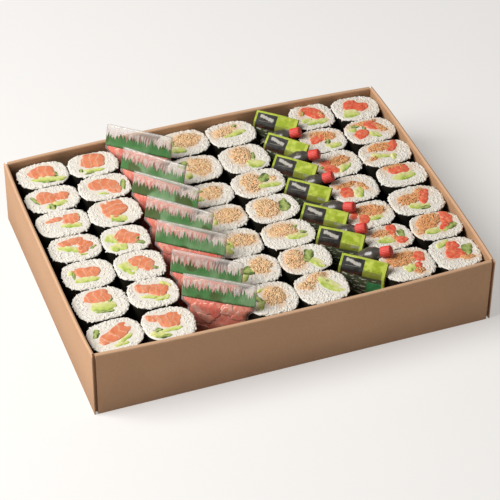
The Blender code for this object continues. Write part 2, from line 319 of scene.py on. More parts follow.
class Look:
    """A material on its way: a Principled shader and whatever feeds it."""

    def __init__(self, name: str) -> None:
        """Starts a material of that name.

        Args:
            name: The material's name.
        """
        self.material = bpy.data.materials.new(name)
        self.material.use_nodes = True
        self.tree = self.material.node_tree
        self.shader = self.tree.nodes["Principled BSDF"]
        self.here = self.place()

    def node(self, kind: str, settings: dict[str, Any] | None = None,
             values: dict[str | int, Any] | None = None, out: str | int = 0) -> Wire:
        """Adds one node.

        Args:
            kind: The node's type.
            settings: Its settings, made first; a ramp's stops go under "stops".
            values: Its sockets by name or number, each a number, a tuple or a Wire.
            out: Which output to hand back.

        Returns:
            That output.
        """
        made = self.tree.nodes.new(kind)
        for key, value in (settings or {}).items():
            if key == "stops":
                for spot, colour in value[2:]:
                    made.color_ramp.elements.new(spot).color = colour
                for element, (spot, colour) in zip(made.color_ramp.elements, sorted(value)):
                    element.position, element.color = spot, colour
            else:
                setattr(made, key, value)
        for key, value in (values or {}).items():
            self.feed(made.inputs[key], value)
        return Wire(self, made.outputs[out])

    def feed(self, socket: bpy.types.NodeSocket, value: Any) -> None:
        """Links a Wire to a socket, or sets a plain value on it.

        Args:
            socket: Where the value goes.
            value: A Wire, a number or a tuple.
        """
        if isinstance(value, Wire):
            self.tree.links.new(value.socket, socket)
        else:
            socket.default_value = value

    def math(self, operation: str, first: Any, second: Any = 0.0) -> Wire:
        """Adds a Math node on two values."""
        return self.node("ShaderNodeMath", {"operation": operation}, {0: first, 1: second})

    def mix(self, share: Any, first: Any, second: Any) -> Wire:
        """Mixes two colours: first where share is 0, second where it is 1."""
        return self.node("ShaderNodeMix", {"data_type": "RGBA"}, {0: share, 6: first, 7: second}, 2)

    def place(self, stretch: tuple[float, float, float] = (1, 1, 1), uv: bool = False,
              turn: float = 0.0) -> Wire:
        """The piece's own coordinates, in metres, or its UV map, stretched and turned about z.

        Args:
            stretch: How much faster each coordinate runs.
            uv: Whether the UV map is read.
            turn: The turn about z in degrees.

        Returns:
            The coordinates.
        """
        source = self.node("ShaderNodeTexCoord", out="UV" if uv else "Object")
        return self.node("ShaderNodeMapping", None, {
            "Vector": source, "Scale": stretch, "Rotation": (0, 0, math.radians(turn))})

    def noise(self, scale: float, detail: float = 2.0, rough: float = 0.5,
              at: Wire | None = None) -> Wire:
        """Noise from 0 to 1 around 0.5, with scale blobs a unit of at, or else a metre."""
        return self.node("ShaderNodeTexNoise", None, {
            "Vector": at or self.here, "Scale": scale, "Detail": detail, "Roughness": rough})

    def axis(self, vector: Wire, name: str) -> Wire:
        """One number of a vector: X, Y or Z."""
        return self.node("ShaderNodeSeparateXYZ", None, {0: vector}, name)

    def tone(self) -> Wire:
        """The piece's attribute tone."""
        return self.node("ShaderNodeAttribute", {"attribute_name": "tone"}, out="Fac")

    def ramp(self, value: Any, *stops: tuple[float, Colour]) -> Wire:
        """A colour ramp through the stops."""
        return self.node("ShaderNodeValToRGB", {"stops": stops}, {0: value})

    def dress(self, height: Wire | None = None, depth: float = 0.1, **sockets: Any) -> None:
        """Feeds the shader's sockets.

        Args:
            height: Relief from 0 to 1, which becomes a bump, or None.
            depth: How deep that relief is, in millimetres.
            sockets: Sockets by name with _ for spaces, such as Base_Color.
        """
        for name, value in sockets.items():
            self.feed(self.shader.inputs[name.replace("_", " ")], value)
        if height is not None:
            bump = self.node("ShaderNodeBump", None, {"Distance": depth * MM, "Height": height})
            self.feed(self.shader.inputs["Normal"], bump)


def under(weight: float, radius: tuple[float, float, float], scale: float) -> dict[str, Any]:
    """The sockets for light that goes under the skin.

    Args:
        weight: The share of the light.
        radius: How far red, green and blue go, as shares of the scale.
        scale: How far that is, in millimetres.

    Returns:
        The values by the names that dress takes.
    """
    return {"Subsurface_Weight": weight, "Subsurface_Radius": radius,
            "Subsurface_Scale": scale * MM}


@dataclass(frozen=True)
class Finish:
    """What one kind of surface is made of; each kind paints its own look.

    Attributes:
        name: The material's name.
    """

    name: str

    def paint(self, look: Look) -> None:
        """Feeds the shader of a material on its way."""
        raise NotImplementedError

    def material(self) -> bpy.types.Material:
        """Makes the material.

        Returns:
            The finished material.
        """
        look = Look(self.name)
        self.paint(look)
        return look.material


@dataclass(frozen=True)
class KraftBoard(Finish):
    """Brown kraft board: long fibres, flecks, a painted highlight along the folded rim and painted shade
    at the foot.
    """

    name: str = "kraft_board"
    rim: float = 77.5
    face: Colour = seen(200, 155, 116)
    dark: Colour = seen(184, 139, 102)
    # The paler board, for the grit flecks and for the painted highlight along the rim.
    worn: Colour = seen(226, 184, 148)

    def paint(self, look: Look) -> None:
        """Feeds the shader.

        Args:
            look: The material on its way.
        """
        height = look.axis(look.here, "Z")
        clouds = look.noise(16, 3)
        fibres = look.noise(1, 4, 0.65, at=look.place((260, 700, 260)))
        flecks = look.noise(520, 2, 0.6).step(0.66, 0.76)
        colour = look.mix(clouds * 0.5 + fibres * 0.5, self.dark, self.face)
        colour = look.mix(flecks * 0.35, colour, seen(140, 102, 74))
        grit = look.noise(1100, 2, 0.7)
        colour = look.mix(grit.step(0.35, 0.65) * 0.22, colour, self.worn)
        # Painted highlight: from the rim's height up, the board is mixed towards the paler tone for the
        # light on the folded top edge.
        edge = (height + (fibres - 0.5) * 0.0015).step(self.rim * MM, 0.0801)
        colour = look.mix(edge * 0.8, colour, self.worn)
        # Painted shade: the walls darken towards their foot, for the shade where they meet the floor.
        foot = (height + (clouds - 0.5) * 0.02).step(0.055, -0.02)
        colour = look.mix(foot * 0.55, colour, seen(140, 104, 76))
        look.dress(fibres + look.noise(60, 2) * 0.6, 0.16, Base_Color=colour,
                   Roughness=fibres * 0.15 + 0.72)


@dataclass(frozen=True)
class Nori(Finish):
    """Roasted seaweed: nearly black with a green cast, pressed fibres and a dull sheen."""

    name: str = "nori"
    dark: Colour = seen(22, 20, 15)
    green: Colour = seen(42, 38, 28)

    def paint(self, look: Look) -> None:
        """Feeds the shader.

        Args:
            look: The material on its way.
        """
        fibres = look.noise(900, 4, 0.7, at=look.place((1, 1, 0.35)))
        look.dress(fibres, 0.2, Base_Color=look.mix(fibres, self.dark, self.green),
                   Roughness=fibres * 0.3 + 0.5, Specular_IOR_Level=0.18)


@dataclass(frozen=True)
class Rice(Finish):
    """Cooked rice: milky grains, warmer where the tone says that a filling has coloured them."""

    name: str = "rice"
    grain: Colour = seen(251, 248, 240)
    shade: Colour = seen(243, 236, 224)
    stain: Colour = seen(240, 200, 160)

    def paint(self, look: Look) -> None:
        """Feeds the shader.

        Args:
            look: The material on its way.
        """
        cloud = look.noise(240, 2)
        colour = look.mix(cloud, self.shade, self.grain)
        stained = look.tone() * look.noise(130, 2).step(0.3, 0.62)
        colour = look.mix(stained * 0.75, colour, self.stain)
        look.dress(look.noise(700, 2), 0.08, Base_Color=colour, Roughness=0.5,
                   Specular_IOR_Level=0.35)


@dataclass(frozen=True)
class Salmon(Finish):
    """Raw salmon: orange flesh crossed by thin pale lines, with a wet face."""

    name: str = "salmon"
    flesh: Colour = seen(246, 152, 110)
    deep: Colour = seen(238, 130, 84)
    line: Colour = seen(252, 200, 170)

    def paint(self, look: Look) -> None:
        """Feeds the shader.

        Args:
            look: The material on its way.
        """
        own = look.place(uv=True)
        cloud = look.noise(110, 2)
        bands = look.node("ShaderNodeTexWave", {"wave_profile": "SIN"}, {
            "Vector": own, "Scale": 1.15, "Distortion": 5.0, "Detail": 2.0, "Detail Scale": 1.4},
            out="Fac")
        lines = bands.step(0.86, 0.99)
        colour = look.mix(cloud.step(0.3, 0.7), self.deep, self.flesh)
        colour = look.mix(look.noise(60, 1).step(0.55, 0.75) * 0.35, colour, self.line)
        colour = look.mix(lines * 0.6, colour, self.line)
        fine = look.noise(900, 3, 0.6)
        look.dress(fine + bands * 0.25, 0.18, Base_Color=look.mix(fine * 0.18, colour, self.line),
                   Roughness=fine * 0.2 + 0.34, Coat_Weight=0.15, Coat_Roughness=0.25,
                   **under(0.12, (1.0, 0.4, 0.2), 2.0))


@dataclass(frozen=True)
class Shreds(Finish):
    """Cooked, torn strands, each a little paler or darker than the next, in a light sauce."""

    name: str
    pale: Colour
    warm: Colour
    crust: Colour

    def paint(self, look: Look) -> None:
        """Feeds the shader.

        Args:
            look: The material on its way.
        """
        tone = look.tone()
        fine = look.noise(800, 3, 0.6)
        colour = look.mix(tone * 0.6 + look.noise(150, 2) * 0.4, self.pale, self.warm)
        dark = (tone + (fine - 0.5) * 0.7).step(0.86, 1.05)
        colour = look.mix(dark * 0.35, colour, self.crust)
        look.dress(fine, 0.2, Base_Color=colour, Roughness=fine * 0.3 + 0.38, Coat_Weight=0.1,
                   **under(0.1, (1.0, 0.5, 0.3), 1.5))


@dataclass(frozen=True)
class CrabStick(Finish):
    """Crab stick: a bright red skin that runs into white flesh along its strands."""

    name: str = "crab_stick"
    red: Colour = seen(252, 122, 90)
    deep: Colour = seen(242, 94, 68)
    flesh: Colour = seen(253, 178, 138)

    def paint(self, look: Look) -> None:
        """Feeds the shader.

        Args:
            look: The material on its way.
        """
        fine = look.noise(700, 3, 0.6)
        colour = look.mix(look.noise(170, 2).step(0.35, 0.65), self.deep, self.red)
        pale = look.noise(300, 3).step(0.45, 0.7)
        look.dress(fine, 0.18, Base_Color=look.mix(pale * 0.6, colour, self.flesh),
                   Roughness=fine * 0.2 + 0.3, Coat_Weight=0.2, Coat_Roughness=0.2)


@dataclass(frozen=True)
class Greens(Finish):
    """Avocado and cucumber; tone under 1 is avocado, over 1 is cucumber.

    Both read the map that runs across the slice: avocado turns from yellow flesh to green at its
    skin side, and cucumber has dark skin at its edges and wet, seedy flesh between.
    """

    name: str = "greens"

    def paint(self, look: Look) -> None:
        """Feeds the shader.

        Args:
            look: The material on its way.
        """
        across = look.axis(look.place(uv=True), "Y")
        fine = look.noise(600, 3, 0.6)
        drift = across + (look.noise(190, 3) - 0.5) * 1.1
        avocado = look.ramp(drift, (0.0, seen(150, 178, 66)), (1.0, seen(248, 244, 188)),
                            (0.16, seen(192, 214, 92)), (0.42, seen(222, 230, 132)),
                            (0.7, seen(240, 238, 164)))
        middle = (drift - 0.5).size()
        cucumber = look.ramp(middle * 2.0, (0.0, seen(186, 200, 120)), (1.0, seen(44, 66, 20)),
                             (0.45, seen(150, 172, 82)), (0.72, seen(92, 122, 40)))
        colour = look.mix(look.tone().step(0.9, 1.1), avocado, cucumber)
        look.dress(fine, 0.15, Base_Color=look.mix(fine * 0.15, colour, seen(240, 240, 190)),
                   Roughness=fine * 0.2 + 0.32, Coat_Weight=0.15, Coat_Roughness=0.2,
                   **under(0.08, (0.6, 1.0, 0.3), 1.5))


@dataclass(frozen=True)
class GingerFlesh(Finish):
    """Pickled ginger: wet slices from deep red where they lie thick to pink and nearly white."""

    name: str = "ginger"
    red: Colour = seen(255, 112, 88)
    pink: Colour = seen(255, 158, 132)
    pale: Colour = seen(255, 226, 210)

    def paint(self, look: Look) -> None:
        """Feeds the shader.

        Args:
            look: The material on its way.
        """
        veins = look.noise(420, 3, 0.6, at=look.place((1, 1, 0.25), turn=42))
        blend = look.tone() * 0.7 + (look.noise(90, 3) - 0.5) * 0.9 + 0.12
        colour = look.ramp(blend, (0.0, self.red), (1.0, self.pale), (0.3, self.red),
                           (0.62, self.pink))
        look.dress(veins, 0.25, Base_Color=look.mix(veins.step(0.48, 0.7) * 0.4, colour, self.pale),
                   Roughness=0.25, Coat_Weight=0.3, Coat_Roughness=0.1)


@dataclass(frozen=True)
class ClearFilm(Finish):
    """Clear packet film: faint, glossy, whiter along creases and its pressed seams.

    Above the strip it is streaked with pink juice. It reads the packet's map, in which up is its
    height in tenths of a metre above the packet's foot.
    """

    name: str = "ginger_film"
    crease: float = 0.40
    haze: Colour = seen(246, 240, 234)
    juice: Colour = seen(232, 160, 142)

    def paint(self, look: Look) -> None:
        """Feeds the shader.

        Args:
            look: The material on its way.
        """
        creases = look.noise(170, 3, 0.6, at=look.place((1, 1, 0.5), turn=42))
        white = creases.step(0.58, 0.74) * 0.3
        own = look.place(uv=True)
        up = look.axis(own, "Y") - self.crease
        band = up.band(0.05, 0.12, 0.22, 0.29)
        streaks = look.noise(1, 2, at=look.place((60, 9, 1), uv=True)).step(0.35, 0.6)
        white = white + band * (streaks * 0.3 + 0.12)
        alpha = look.math("MINIMUM", look.tone() + white + 0.1, 0.95)
        colour = look.mix(band * (1.0 - streaks) * 0.9, self.haze, self.juice)
        look.dress(creases + look.noise(60, 2), 0.5, Base_Color=colour, Roughness=0.12,
                   Alpha=alpha, Specular_IOR_Level=0.6)


@dataclass(frozen=True)
class GrassPlastic(Finish):
    """The green strip of cut plastic grass: bright, olive in patches, darker towards the tips."""

    name: str = "plastic_grass"
    green: Colour = seen(86, 142, 82)
    light: Colour = seen(134, 174, 126)
    olive: Colour = seen(86, 98, 52)

    def paint(self, look: Look) -> None:
        """Feeds the shader.

        Args:
            look: The material on its way.
        """
        blades = look.noise(500, 2, at=look.place((1, 1, 0.12), turn=42))
        colour = look.mix(look.noise(38, 1).step(0.42, 0.6), self.green, self.light)
        colour = look.mix(look.noise(45, 1, at=look.place(turn=20)).step(0.56, 0.64) * 0.85,
                          colour, self.olive)
        look.dress(blades, 0.15, Base_Color=look.mix(blades * 0.3, colour, seen(48, 100, 50)),
                   Roughness=0.4)


@dataclass(frozen=True)
class WasabiPrint(Finish):
    """The wasabi packet's foil: lime with a charcoal panel of loose brush strokes.

    It reads the packet's map: across is 0 to 1 from left to right, and up is its height in
    tenths of a metre above the packet's foot.
    """

    name: str = "wasabi_foil"
    crease: float = 0.38
    lime: Colour = seen(164, 184, 46)
    bright: Colour = seen(206, 221, 92)
    moss: Colour = seen(116, 118, 50)
    panel: Colour = seen(30, 27, 23)
    stroke: Colour = seen(214, 210, 200)
    rust: Colour = seen(96, 52, 36)

    def paint(self, look: Look) -> None:
        """Feeds the shader.

        Args:
            look: The material on its way.
        """
        own = look.place(uv=True)
        across, up = look.axis(own, "X"), look.axis(own, "Y") - self.crease
        fine = look.noise(500, 2)
        sheen = look.noise(95, 2, at=look.place((1, 1, 2)))
        ragged = (fine - 0.5) * 0.02
        colour = look.mix(sheen.step(0.42, 0.66), self.lime, self.bright)
        colour = look.mix((up + ragged * 0.5).step(0.036, 0.02) * 0.8, colour, self.moss)
        line = up.band(0.036, 0.04, 0.04, 0.044)
        dashes = look.noise(1, 1, at=look.place((170, 1, 1), uv=True)).step(0.4, 0.5)
        colour = look.mix(line * dashes * across.step(0.6, 0.62) * 0.8, colour, self.panel)
        # Painted reflection: a grey patch on the lime just above the crease, on the right.
        patch = across.band(0.74, 0.75, 0.93, 0.94) * up.band(0.002, 0.004, 0.024, 0.026)
        colour = look.mix(patch * sheen.step(0.3, 0.5) * 0.7, colour, seen(158, 162, 140))
        rim = (across + ragged).step(0.9, 0.94) + (up + ragged).step(0.141, 0.147)
        colour = look.mix(rim, colour, self.bright)
        inside = across.step(0.05, 0.062) * (across + ragged).step(0.53, 0.515)
        inside = inside * up.band(-0.2, -0.19, 0.134, 0.14)
        shine = look.mix(sheen.step(0.5, 0.75) * 0.25, self.panel, seen(96, 90, 82))
        colour = look.mix(inside, colour, shine)
        low = (up + (fine - 0.5) * 0.06).step(0.01, -0.02)
        colour = look.mix(inside * low * sheen.step(0.35, 0.6) * 0.7, colour, self.rust)
        below = up.step(-0.024, -0.03) * across.band(0.08, 0.1, 0.92, 0.94)
        blots = look.noise(1, 2, at=look.place((7, 34, 1), uv=True)).step(0.56, 0.6)
        label = look.mix(blots * 0.8, seen(82, 86, 62), seen(204, 208, 190))
        tab = across.step(0.62, 0.64) * up.step(-0.085, -0.09)
        label = look.mix(tab * 0.85, label, seen(64, 146, 88))
        colour = look.mix(below, colour, label)
        band = up - 0.088 - look.math("SINE", across * 11.0) * 0.014
        brush = (band + (fine - 0.5) * 0.03).size().step(0.024, 0.01)
        underline = (up - 0.04 - across * 0.02).size().step(0.004, 0.001)
        marks = (brush + underline * 0.4) * across.band(0.12, 0.14, 0.44, 0.47)
        colour = look.mix(marks * inside * 0.75, colour, self.stroke)
        crimp = look.node("ShaderNodeTexWave", {"wave_profile": "SIN"}, {
            "Vector": own, "Scale": 14.0}, out="Fac")
        crimp = crimp * (up.step(0.14, 0.15) + across.step(0.05, 0.02) + across.step(0.95, 0.98))
        look.dress(crimp + look.noise(120, 2) + sheen, 0.4, Base_Color=colour,
                   Roughness=fine * 0.15 + 0.38, Specular_IOR_Level=0.15)


@dataclass(frozen=True)
class SoyBottle(Finish):
    """A clear plastic bottle full of soy sauce, which looks nearly black with a brown edge."""

    name: str = "soy_bottle"
    sauce: Colour = seen(76, 70, 64)
    thin: Colour = seen(140, 132, 122)

    def paint(self, look: Look) -> None:
        """Feeds the shader.

        Args:
            look: The material on its way.
        """
        cloud = look.noise(130, 2)
        scales = look.node("ShaderNodeTexVoronoi", None, {"Vector": look.here, "Scale": 330.0},
                           out="Distance")
        look.dress(scales * 0.6 + cloud, 0.3, Roughness=0.36, Coat_Weight=0.5,
                   Base_Color=look.mix(cloud.step(0.5, 0.75), self.sauce, self.thin),
                   Coat_Roughness=0.2)


@dataclass(frozen=True)
class CapPlastic(Finish):
    """Red moulded plastic with a soft gloss."""

    name: str = "bottle_cap"
    red: Colour = seen(230, 68, 57)
    worn: Colour = seen(245, 116, 100)

    def paint(self, look: Look) -> None:
        """Feeds the shader.

        Args:
            look: The material on its way.
        """
        cloud = look.noise(260, 3)
        look.dress(look.noise(900, 2), 0.08, Roughness=cloud * 0.2 + 0.42,
                   Base_Color=look.mix(cloud.step(0.45, 0.8) * 0.5, self.red, self.worn))


class Food(Enum):
    """What one piece of a roll's filling is.

    Attributes:
        power: How square its cuts are, as the power of their superellipse.
        swell: How much larger they are than the table says.
        lift: How far their edge stands over the seaweed's.
        tint: How much they colour the rice beside them.
    """

    SALMON = ("S", 3.0, 1.08, 2.0, 0.25)
    AVOCADO = ("A", 2.4, 1.18, 1.8, 0.0)
    CUCUMBER = ("C", 2.8, 1.18, 1.9, 0.0)
    SHREDS = ("T", 2.2, 1.2, 1.4, 0.9)
    CRAB = ("R", 2.5, 1.2, 2.1, 0.8)

    def __new__(cls, letter: str, power: float, swell: float, lift: float, tint: float) -> "Food":
        """Makes a food whose value is its letter in the table of fillings.

        Args:
            letter: How the table of fillings names it.
            power, swell, lift, tint: As described above.

        Returns:
            The food.
        """
        food = object.__new__(cls)
        food._value_ = letter
        food.power, food.swell, food.lift, food.tint = power, swell, lift, tint
        return food


# Each roll's filling: the food, its middle across and back, length, width, and turn in degrees.
FILLINGS = {
    "a1": "S -1 4 28 21 -3;A 5 -10 36 9 -12;C 13 -3.5 9 6 -60;C 3 -14.5 14 3 -8",
    "a2": "S -6.5 3 20 20 -10;S 9.5 2 17 13 -8;C -18.5 0.5 15 4 -65;A 1.5 -10.5 22 8 10;"
          "C -4 -13.5 9 7 80",
    "a3": "S -8.5 6.5 17 7 4;S 9 3.5 18 17 -8;A 17.5 7.5 9 4 -80;A 7 -7.5 22 7 -12",
    "a4": "S -1 10 27 10 8;S 11.5 2 18 12 -45;S 6.5 -6.5 12 9 80;A -6.5 -0.5 20 9 -30;C 18 -5.5 8 3 35;"
          "A 6 -13 7 3 0",
    "a5": "S -1 3 27 16 -8;A -4 -8.5 24 8 -5;C -14.5 2.5 13 3 72;A -17.5 5.5 8 5 60",
    "a6": "S -0.5 10.5 26 19 5;A 0.5 -5.5 25 14 -5;C 0.5 -13.5 18 3.5 -6;C 10.5 2 8 4 60",
    "a7": "S 0.5 1 36 17 28;A 7.5 -9 18 5 28;C -18 7 12 6 70;A 2.5 -15.5 16 4 8",
    "b1": "S 1 6 26 25 -15;A -4.5 -11 24 6 -4;C -16 -7.5 6 4 70;C -8.5 -15 10 3 0",
    "b2": "S -0.5 3.5 31 18 -8;S 10 -8 14 13 60;C 20.5 -2 17 5 72;A -5.5 -11 10 4 -20",
    "b3": "S 0 7 30 26 -78;A 3 -13 21 9 -20;C -2 -16.5 12 3 -22",
    "b4": "S 2 2 24 21 -40;A -13 4 15 13 -40;A -11 -11 17 13 -10;C 11 -4 8 3 45;C 13 -10 10 5 -30",
    "b5": "S 3 2 28 18 -42;A -12.5 -1.5 19 15 -60;C 13.5 -9.5 8 4 -30",
    "b6": "S -8 8.5 17 13 -10;S 6 2 20 19 -30;A 1 -7.5 27 6 -14;A 16 9 13 5 -50;A 5 -12.5 14 4 -5",
    "b7": "S 2 4 23 21 -5;S -13 11 15 10 -18;A -14 -14.5 22 12 6;A 1 -10 18 6 4;C -13.5 -7.5 8 5 10;"
          "C -12 -18.5 16 4 0",
    "c1": "T 4 3.5 30 22 10;A -9.5 -11 17 10 -15;C -12 1.5 9 4 80",
    "c2": "T 5 2 28 25 75;C -11 10 13 9 60;A -9 -9.5 12 9 40",
    "c3": "T 3.5 2 25 19 12;C -7 7 11 4 5;A -10.5 -5 8 8 0;C -13 7.5 5 5 0",
    "c4": "T 6.5 1.5 30 22 5;C -10 5.5 6 5 30;A -9.5 -6 9 5 70",
    "c5": "T 6.5 3 29 17 -8;A -10.5 -5.5 21 10 75;C -11.5 0 8 4 20",
    "c6": "T 7.5 2.5 23 21 60;C -9.5 -0.5 15 12 0;A -15.5 -11.5 13 6 60",
    "c7": "T 3.5 1 26 21 75;C -13.5 2.5 19 6 -75;A -14.5 -8 13 7 65;A -8.5 13.5 12 4 15",
    "d1": "T -6.5 5.5 27 13 15;A 3 -1 24 9 8;C 6.5 12 6 4 40",
    "d2": "T -2 5 29 21 82;A 8.5 -13 19 13 -30;C 10.5 0.5 14 4 75",
    "d3": "T -7.5 2 29 21 80;C 9 6 14 11 30;T 17.5 2.5 9 7 60;A 12 -7 24 9 -5",
    "d4": "T -6.5 1 28 25 60;C 13.5 1.5 20 11 80",
    "d5": "T -4 7 27 19 -5;T 6 1.5 11 8 -20;A 7.5 -7 21 9 -4;C 11 8.5 6 4 30;C 16 -2.5 7 4 -30",
    "d6": "T -10.5 3 28 20 75;C 5.5 5 18 9 65;C 2 -3 11 5 -30;A 9.5 -9 20 10 -60",
    "d7": "T -14.5 6 16 13 15;T 0.5 15 21 11 22;A 10 -1 28 13 -60;C 6.5 6 6 4 0",
    "e1": "R 3 5 25 16 -55;T 10 0.5 14 6 -70;T -9.5 9.5 13 5 60;C -8.5 8 10 4 60;A 0 -11 26 10 -6;"
          "A -9 -5.5 10 8 0",
    "e2": "T 2 7 27 15 -18;R -5 3 19 10 20;A 7.5 -12.5 16 9 -5;C 4 -4.5 9 5 60",
    "e3": "T 4 4 23 14 10;R -13 3.5 10 9 30;R -10 -7.5 16 11 -45;A 5.5 -8.5 17 9 35;C -18.5 -2.5 7 5 20",
    "e4": "T -7 7.5 24 8 8;T 9.5 2 17 6 -60;R -10.5 -4.5 17 12 75;A 2 -8.5 17 10 70",
    "e5": "T 1.5 5.5 32 17 -8;R -17.5 2 10 6 60;R -9 -7 14 10 65;A 5 -7 18 8 5",
    "e6": "T -5.5 7.5 20 10 3;R 7 11 15 9 85;T 6.5 -1 13 4 75;C 15 2.5 12 7 80;R 11.5 -8.5 11 9 -20;"
          "A -4.5 -3.5 16 11 -20",
    "e7": "T -3 8.5 32 19 6;R 16 6.5 15 10 75;R 10.5 -5.5 8 7 60;T 8.5 -14 10 8 0;A 0.5 -7 14 11 30",
    "f1": "R -3.5 6.5 17 15 0;R 5 1 16 14 -15;A -9.5 -8.5 17 14 -8",
    "f2": "T -1 14 29 6 3;T 12 3 22 8 -62;R 6 7.5 17 12 -35;R -12 -4.5 15 13 40;C -14 11 9 4 -20;"
          "C -5.5 4.5 11 4 62;A 1.5 -8 15 9 -35;A -18 6 10 7 0",
    "f3": "T -3.5 11 26 13 4;R 12 9.5 18 9 55;A -5 -4 23 7 -18;A 6.5 -9.5 9 6 75;T -16 -6.5 10 6 20",
    "f4": "T -2.5 15 22 11 -5;R 0 8 22 11 4;A 1 -3.5 26 11 8",
    "f5": "T -6.5 3.5 27 16 12;R 9.5 3.5 21 10 65;T 8.5 14 11 6 20;A -1.5 -10.5 23 9 -16;C 3 -15 11 5 0",
    "f6": "T -5 8.5 28 20 35;T -18.5 -4 14 8 30;R 15.5 15.5 13 9 75;R 14.5 6 17 11 65;R 7 -5 12 7 45;"
          "A -3 -8.5 23 9 -5;C 15.5 -6 13 8 20",
    "f7": "R 0.5 11.5 12 12 0;R -1 -1.5 18 14 -5;A -7.5 18 18 7 35;C 14.5 2.5 15 11 60;"
          "T 9.5 -10.5 14 7 -12",
}


@dataclass(frozen=True)
class Morsel:
    """One cut of filling, seen from above, placed from the middle of its roll.

    Attributes:
        food: What it is.
        x, y: Its middle, across and back.
        length, width: Its whole size.
        turn: How far its length is turned from across, in degrees.
    """

    food: Food
    x: float
    y: float
    length: float
    width: float
    turn: float

    @classmethod
    def read(cls, line: str) -> list["Morsel"]:
        """Reads a roll's line of the table of fillings.

        Args:
            line: Cuts with ; between them, each a letter and five numbers.

        Returns:
            The cuts in order.
        """
        cuts = []
        for entry in line.split(";"):
            letter, *numbers = entry.split()
            food, (x, y, length, width, turn) = Food(letter), map(float, numbers)
            cuts.append(cls(food, x, y, length * food.swell, width * food.swell, turn))
        return cuts

    def gap(self, x: Array, y: Array) -> Array:
        """How far places lie outside it, in millimetres, and under 0 inside.

        The superellipse's own measure, less 1, times half the width.

        Args:
            x, y: Places from the roll's middle.

        Returns:
            The distances, one a place.
        """
        along, across = turned(x - self.x, y - self.y, -self.turn)
        power = self.food.power
        measure = np.abs(2 * along / self.length) ** power
        measure = (measure + np.abs(2 * across / self.width) ** power) ** (1 / power)
        return (measure - 1) * self.width / 2

    def block(self, top: float, name: str) -> Surface:
        """The cut as a rounded block with a slightly crowned, uneven face.

        Its outline is a superellipse times small waves, drawn in ring by ring as it rises over
        its edge to the middle. The height of a ring on the face adds smooth noise and a slight
        tilt to the crown.

        Args:
            top: The height of its edge.
            name: Names its random numbers.

        Returns:
            The block; its map is 0 to 1 along and across the cut.
        """
        rng = draws(name)
        a = circle(40)
        power = self.food.power
        radius = (np.abs(np.cos(a)) ** power + np.abs(np.sin(a)) ** power) ** (-1 / power)
        phase = rng.uniform(0, math.tau, 3)
        radius *= 1 + 0.05 * np.sin(2 * a + phase[0]) + 0.07 * np.sin(3 * a + phase[1])
        radius *= 1 + 0.04 * np.sin(5 * a + phase[2]) + 0.02 * np.sin(9 * a + phase[0])
        shares, drops = np.array([(0.9, -7), (1, -2.5), (1, -0.9), (0.97, -0.25), (0.9, 0),
                                  (0.78, 0), (0.6, 0), (0.4, 0), (0.2, 0)]).T[..., None]
        u, v = shares * radius * np.cos(a), shares * radius * np.sin(a)
        x, y = turned(u * self.length / 2, v * self.width / 2, self.turn)
        x, y = self.x + x, self.y + y
        face = 0.5 * (1 - shares ** 2) + 0.55 * patches(x / 2.7, y / 2.7, int(rng.integers(999)))
        z = top + drops + np.where(drops > -1, face + rng.normal(0, 0.3) * u, 0)
        flesh = 1.5 if self.food is Food.CUCUMBER else 0.5
        return Surface.grid(xyz(x, y, z), True, True, np.stack([u, v], -1) / 2 + 0.5, flesh)

    def strands(self, top: float, name: str, room: float = 3.6, thickness: float = 1.8,
                spread: float = 1.2) -> Surface:
        """Torn strands heaped over the cut.

        Each strand's path turns steadily from its heading. A four-sided ring, about a third as
        thick as it is wide, is carried along it. Strands lie higher towards the middle.

        Args:
            top: The height of the bed that they lie on.
            name: Names their random numbers.
            room: What each takes, in square millimetres.
            thickness: Their middle width.
            spread: How far headings stray from the cut's length, in radians.

        Returns:
            The strands, each with its own tone from 0 to 1.
        """
        rng = draws(name)
        count = max(6, int(self.length * self.width * 0.75 / room))
        rho, phi = np.sqrt(rng.random(count)) * 0.92, rng.uniform(0, math.tau, count)
        long = np.clip(rng.normal(6.5, 2, count), 3, 0.6 * self.length + 2)
        heading = math.radians(self.turn) + rng.normal(0, spread, count)
        bend = rng.normal(0, 1.0, count)
        t = np.linspace(-0.5, 0.5, 6)
        angle = heading[:, None] + bend[:, None] * t
        step = long[:, None] / 5
        walk = np.cumsum(np.stack([np.cos(angle), np.sin(angle)], -1) * step[..., None], 1)
        walk -= walk.mean(1, keepdims=True)
        pull = 1 - 0.45 * rho * np.clip(long / self.length, 0, 1)
        along = rho * np.cos(phi) * self.length / 2 * pull
        across = rho * np.sin(phi) * self.width / 2 * pull
        x, y = turned(along, across, self.turn)
        path = xyz((self.x + x)[:, None] + walk[..., 0], (self.y + y)[:, None] + walk[..., 1], 0.0)
        outside = np.maximum(self.gap(path[..., 0], path[..., 1]) + 1.2, 0)
        path[..., 2] = (top + 0.5 * (1 - rho ** 2) + rng.uniform(-0.25, 0.2, count))[:, None]
        path[..., 2] += 0.22 * np.sin(t * 5 + phi[:, None]) - 0.3 * outside
        wide = np.clip(rng.normal(thickness, 0.3, count), 0.6, 2.6)[:, None]
        wide = wide * (1 - 1.3 * t ** 2)
        side = xyz(-np.sin(angle), np.cos(angle), 0.0)
        roll = rng.normal(0, 0.5, count)[:, None, None]
        side = side * np.cos(roll) + np.array(UP) * np.sin(roll)
        ahead = xyz(np.cos(angle), np.sin(angle), 0.0)
        up = np.cross(ahead, side)
        around, wide = circle(4)[:, None], wide[..., None, None]
        rings = path[:, :, None] + side[:, :, None] * (wide / 2 * np.cos(around))
        rings = rings + up[:, :, None] * (wide * 0.18 * np.sin(around))
        first, last = path[:, 0] - ahead[:, 0] * 0.4, path[:, -1] + ahead[:, -1] * 0.4
        return Surface.tubes(rings, first, last, rng.random(count))


